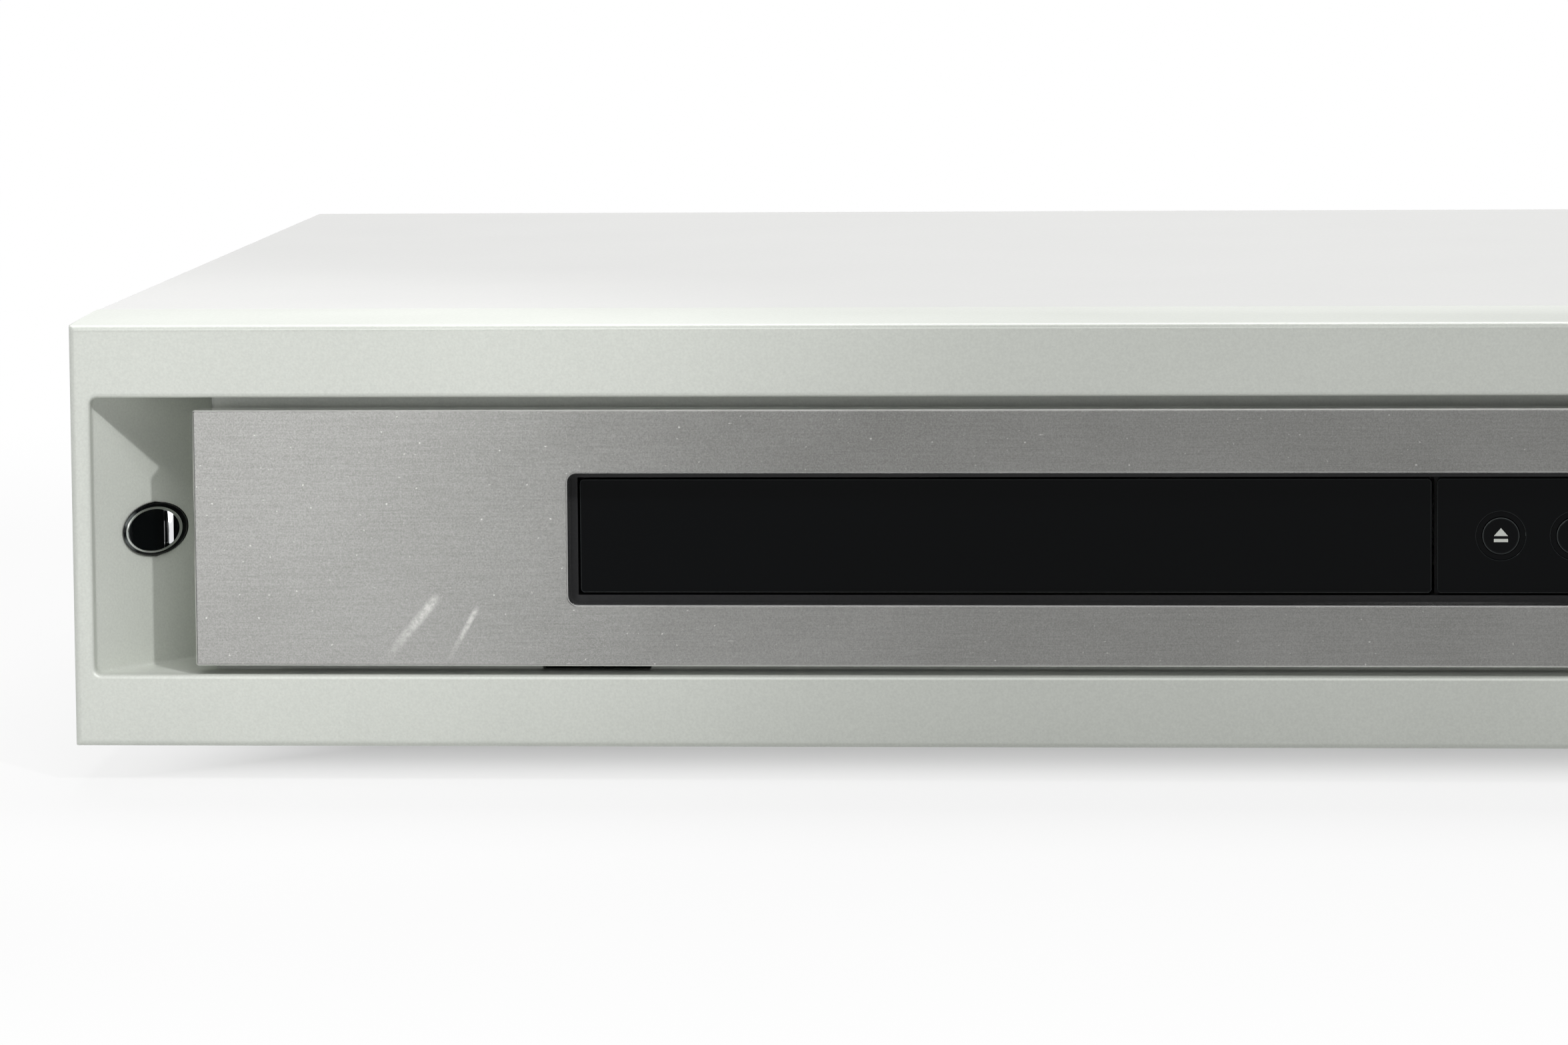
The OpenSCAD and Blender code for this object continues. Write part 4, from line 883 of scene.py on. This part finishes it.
# Coloured rings on the rear panel around the two rows of round sockets
JACK_COLOURS = ("yellow_tape", "white_plastic", "black_plastic", "white_plastic", "yellow_tape")
JACK_ROWS = 2
JACK_R = 4.15
JACK_FIT = 0.03
JACK_RING_OUT_R = JACK_R + 1.35
JACK_RING_LOW = 0.02
JACK_RING_HIGH = 0.8
JACK_RING_EDGE = (0.1, 0.35)


def jack_rings():
    low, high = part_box("av_jacks")
    pitch = (high.x - low.x) / len(JACK_COLOURS)
    heights = [high.z - (row + 0.5) * pitch for row in range(JACK_ROWS)]
    panel_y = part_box("rear_panel")[1].y
    near, far = JACK_RING_EDGE
    profile = [
        (JACK_R + JACK_FIT, JACK_RING_LOW), (JACK_R + JACK_FIT, JACK_RING_HIGH),
        (JACK_RING_OUT_R - far, JACK_RING_HIGH), (JACK_RING_OUT_R - near, JACK_RING_HIGH - near),
        (JACK_RING_OUT_R, JACK_RING_HIGH - far), (JACK_RING_OUT_R, JACK_RING_LOW),
    ]
    for column, slot in enumerate(JACK_COLOURS):
        x = low.x + (column + 0.5) * pitch
        turned(f"jack_ring_{column + 1}", profile, [facing_back(x, z, panel_y) for z in heights],
               slot, BODIES["av_jacks"], steps=48)


# Contacts on the tongues of the two television sockets
CONTACTS = 10
CONTACT_PITCH = 3.5
CONTACT_HALF = 0.6
CONTACT_HIGH = 0.22
CONTACT_BACK = -8.6          # their ends, from the sockets' outer face
CONTACT_FRONT = -2.3
CONTACT_EDGE = 0.06
TONGUE_TOP = 5.5             # above the lower edge of a socket
TV_SOCKET_H = 16.6


def tv_contacts():
    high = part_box("tv_sockets")[1]
    outlines = []
    for i in range(CONTACTS):
        across = (i - (CONTACTS - 1) / 2) * CONTACT_PITCH
        outlines.append(rectangle(across - CONTACT_HALF, across + CONTACT_HALF, -SINK, CONTACT_HIGH))
    tongues = []
    for below in (1, 2):
        tongue_z = high.z + (TONGUE_TOP - below * TV_SOCKET_H) * MM
        tongues.append(facing_back(middle("tv_sockets").x, tongue_z, high.y))
    plate("tv_contacts", outlines, CONTACT_BACK, CONTACT_FRONT, CONTACT_EDGE, tongues, "zinc_steel",
          BODIES["tv_sockets"])


button_signs()
recess_fillets()
power_button()
screws()
jack_rings()
tv_contacts()

for node, shape in frame["nodes"].items():
    if node not in shells:
        paint(shape, SLOTS[node])


# ---- studio ----

# What the lamps are turned to: the player's middle, and the left end of its front for the narrow key light
PLAYER_MIDDLE = Vector((0, 0, 0.04))
LEFT_END = Vector((-0.225, front_y, 0.04))
KEY_PLACE = LEFT_END + Vector((0.565, -0.79, 0.72))


def camera():
    yaw, pitch, roll = (math.radians(angle) for angle in (CAMERA_YAW, CAMERA_PITCH, CAMERA_ROLL))
    forward = Vector((-math.sin(yaw) * math.cos(pitch), math.cos(yaw) * math.cos(pitch), -math.sin(pitch)))
    level = Vector((math.cos(yaw), math.sin(yaw), 0))
    upright = level.cross(forward)
    right = level * math.cos(roll) + upright * math.sin(roll)
    up = upright * math.cos(roll) - level * math.sin(roll)
    data = bpy.data.cameras.new("camera")
    data.sensor_width = SENSOR_MM
    data.lens = SENSOR_MM * PHOTO_FOCAL / PHOTO_WIDTH
    data.clip_start = CLIP_START
    made = bpy.data.objects.new("camera", data)
    turn = Matrix((right, up, -forward)).transposed().to_4x4()
    made.matrix_world = Matrix.Translation(CAMERA_PLACE) @ turn
    scene.collection.objects.link(made)
    scene.camera = made


def lamp(name, kind, place, target, power):
    data = bpy.data.lights.new(name, kind)
    data.energy = power
    made = bpy.data.objects.new(name, data)
    made.location = place
    made.rotation_euler = (target - place).to_track_quat("-Z", "Y").to_euler()
    scene.collection.objects.link(made)
    return data


def softbox(name, azimuth, elevation, distance, size, power):
    """A lamp that faces the player's middle. Azimuth 0 is in front and 90 is at the right."""
    turn = math.radians(azimuth)
    rise = math.radians(elevation)
    way = Vector((math.sin(turn) * math.cos(rise), -math.cos(turn) * math.cos(rise), math.sin(rise)))
    data = lamp(name, "AREA", PLAYER_MIDDLE + way * distance, PLAYER_MIDDLE, power)
    data.shape = "RECTANGLE"
    data.size, data.size_y = size


def spot(name, place, target, angle, radius, power):
    data = lamp(name, "SPOT", place, target, power)
    data.spot_size = math.radians(angle)
    data.spot_blend = 1.0
    data.shadow_soft_size = radius


def lamps():
    spot("key", KEY_PLACE, LEFT_END, angle=14, radius=0.02, power=21)
    softbox("left_softbox", azimuth=-14.5, elevation=4, distance=2.0, size=(0.3, 0.9), power=3.6)
    softbox("front_top_softbox", azimuth=-1, elevation=42, distance=1.8, size=(0.9, 0.5), power=10)
    softbox("rear_top_softbox", azimuth=180, elevation=62, distance=1.8, size=(1.4, 0.9), power=20)


def floor():
    """Pale paper that keeps the shadow near the player, and fades to the white background around it."""
    half = FLOOR_HALF
    corners = [(-half, -half, 0), (half, -half, 0), (half, half, 0), (-half, half, 0)]
    mesh = bpy.data.meshes.new("floor")
    mesh.from_pydata(corners, [], [(0, 1, 2, 3)])
    made = bpy.data.objects.new("floor", mesh)
    scene.collection.objects.link(made)
    material = bpy.data.materials.new("floor")
    material.use_nodes = True
    material.node_tree.nodes.clear()
    nodes = Nodes(material.node_tree)
    side, front, _ = nodes.apart(nodes.coordinates("Object"))
    beside = nodes.math("SUBTRACT", nodes.math("ABSOLUTE", side), cad_box[1].x)
    before = nodes.math("SUBTRACT", nodes.math("ABSOLUTE", front), -front_y)
    distance = nodes.largest(beside, before)
    under = nodes.span(distance, -PAPER_INSET, 0, PAPER_UNDER, PAPER_BESIDE, interpolation_type="SMOOTHSTEP")
    outside = nodes.span(distance, 0, PAPER_REACH, 1, 0, interpolation_type="SMOOTHSTEP")
    background = nodes.math("SUBTRACT", 1.0, nodes.math("MULTIPLY", under, outside))
    share = nodes.math("MULTIPLY", nodes.seen_by("Camera", "Glossy", "Transmission"), background)
    paper = nodes.node("BsdfDiffuse", PAPER_COLOUR)
    glow = nodes.node("Emission", WHITE, 1.0)
    mixed = nodes.node("MixShader", share, paper.outputs[0], glow.outputs[0])
    nodes.node("OutputMaterial", mixed.outputs[0])
    mesh.materials.append(material)


def world():
    """White for the camera. The object itself finds a room that is pale behind it and dim in front."""
    made = bpy.data.worlds.new("studio")
    made.use_nodes = True
    made.node_tree.nodes.clear()
    nodes = Nodes(made.node_tree)
    back = nodes.apart(nodes.coordinates("Generated"))["Y"]
    room = nodes.span(back, *ROOM_TURNS, ROOM_FRONT, ROOM_BACK, interpolation_type="SMOOTHSTEP")
    # mirrored rays find the white background too, but not on the side where the camera stands
    mirrored = nodes.math("MULTIPLY", nodes.seen_by("Glossy"), nodes.span(back, *ROOM_TURNS, 0, 1))
    seen = nodes.largest(nodes.seen_by("Camera", "Transmission"), mirrored)
    dim = nodes.node("Background", WHITE, room)
    white = nodes.node("Background", WHITE, 1.0)
    mixed = nodes.node("MixShader", seen, dim.outputs[0], white.outputs[0])
    nodes.node("OutputWorld", mixed.outputs[0])
    scene.world = made


camera()
floor()
world()
lamps()
scene.view_settings.view_transform = "Standard"
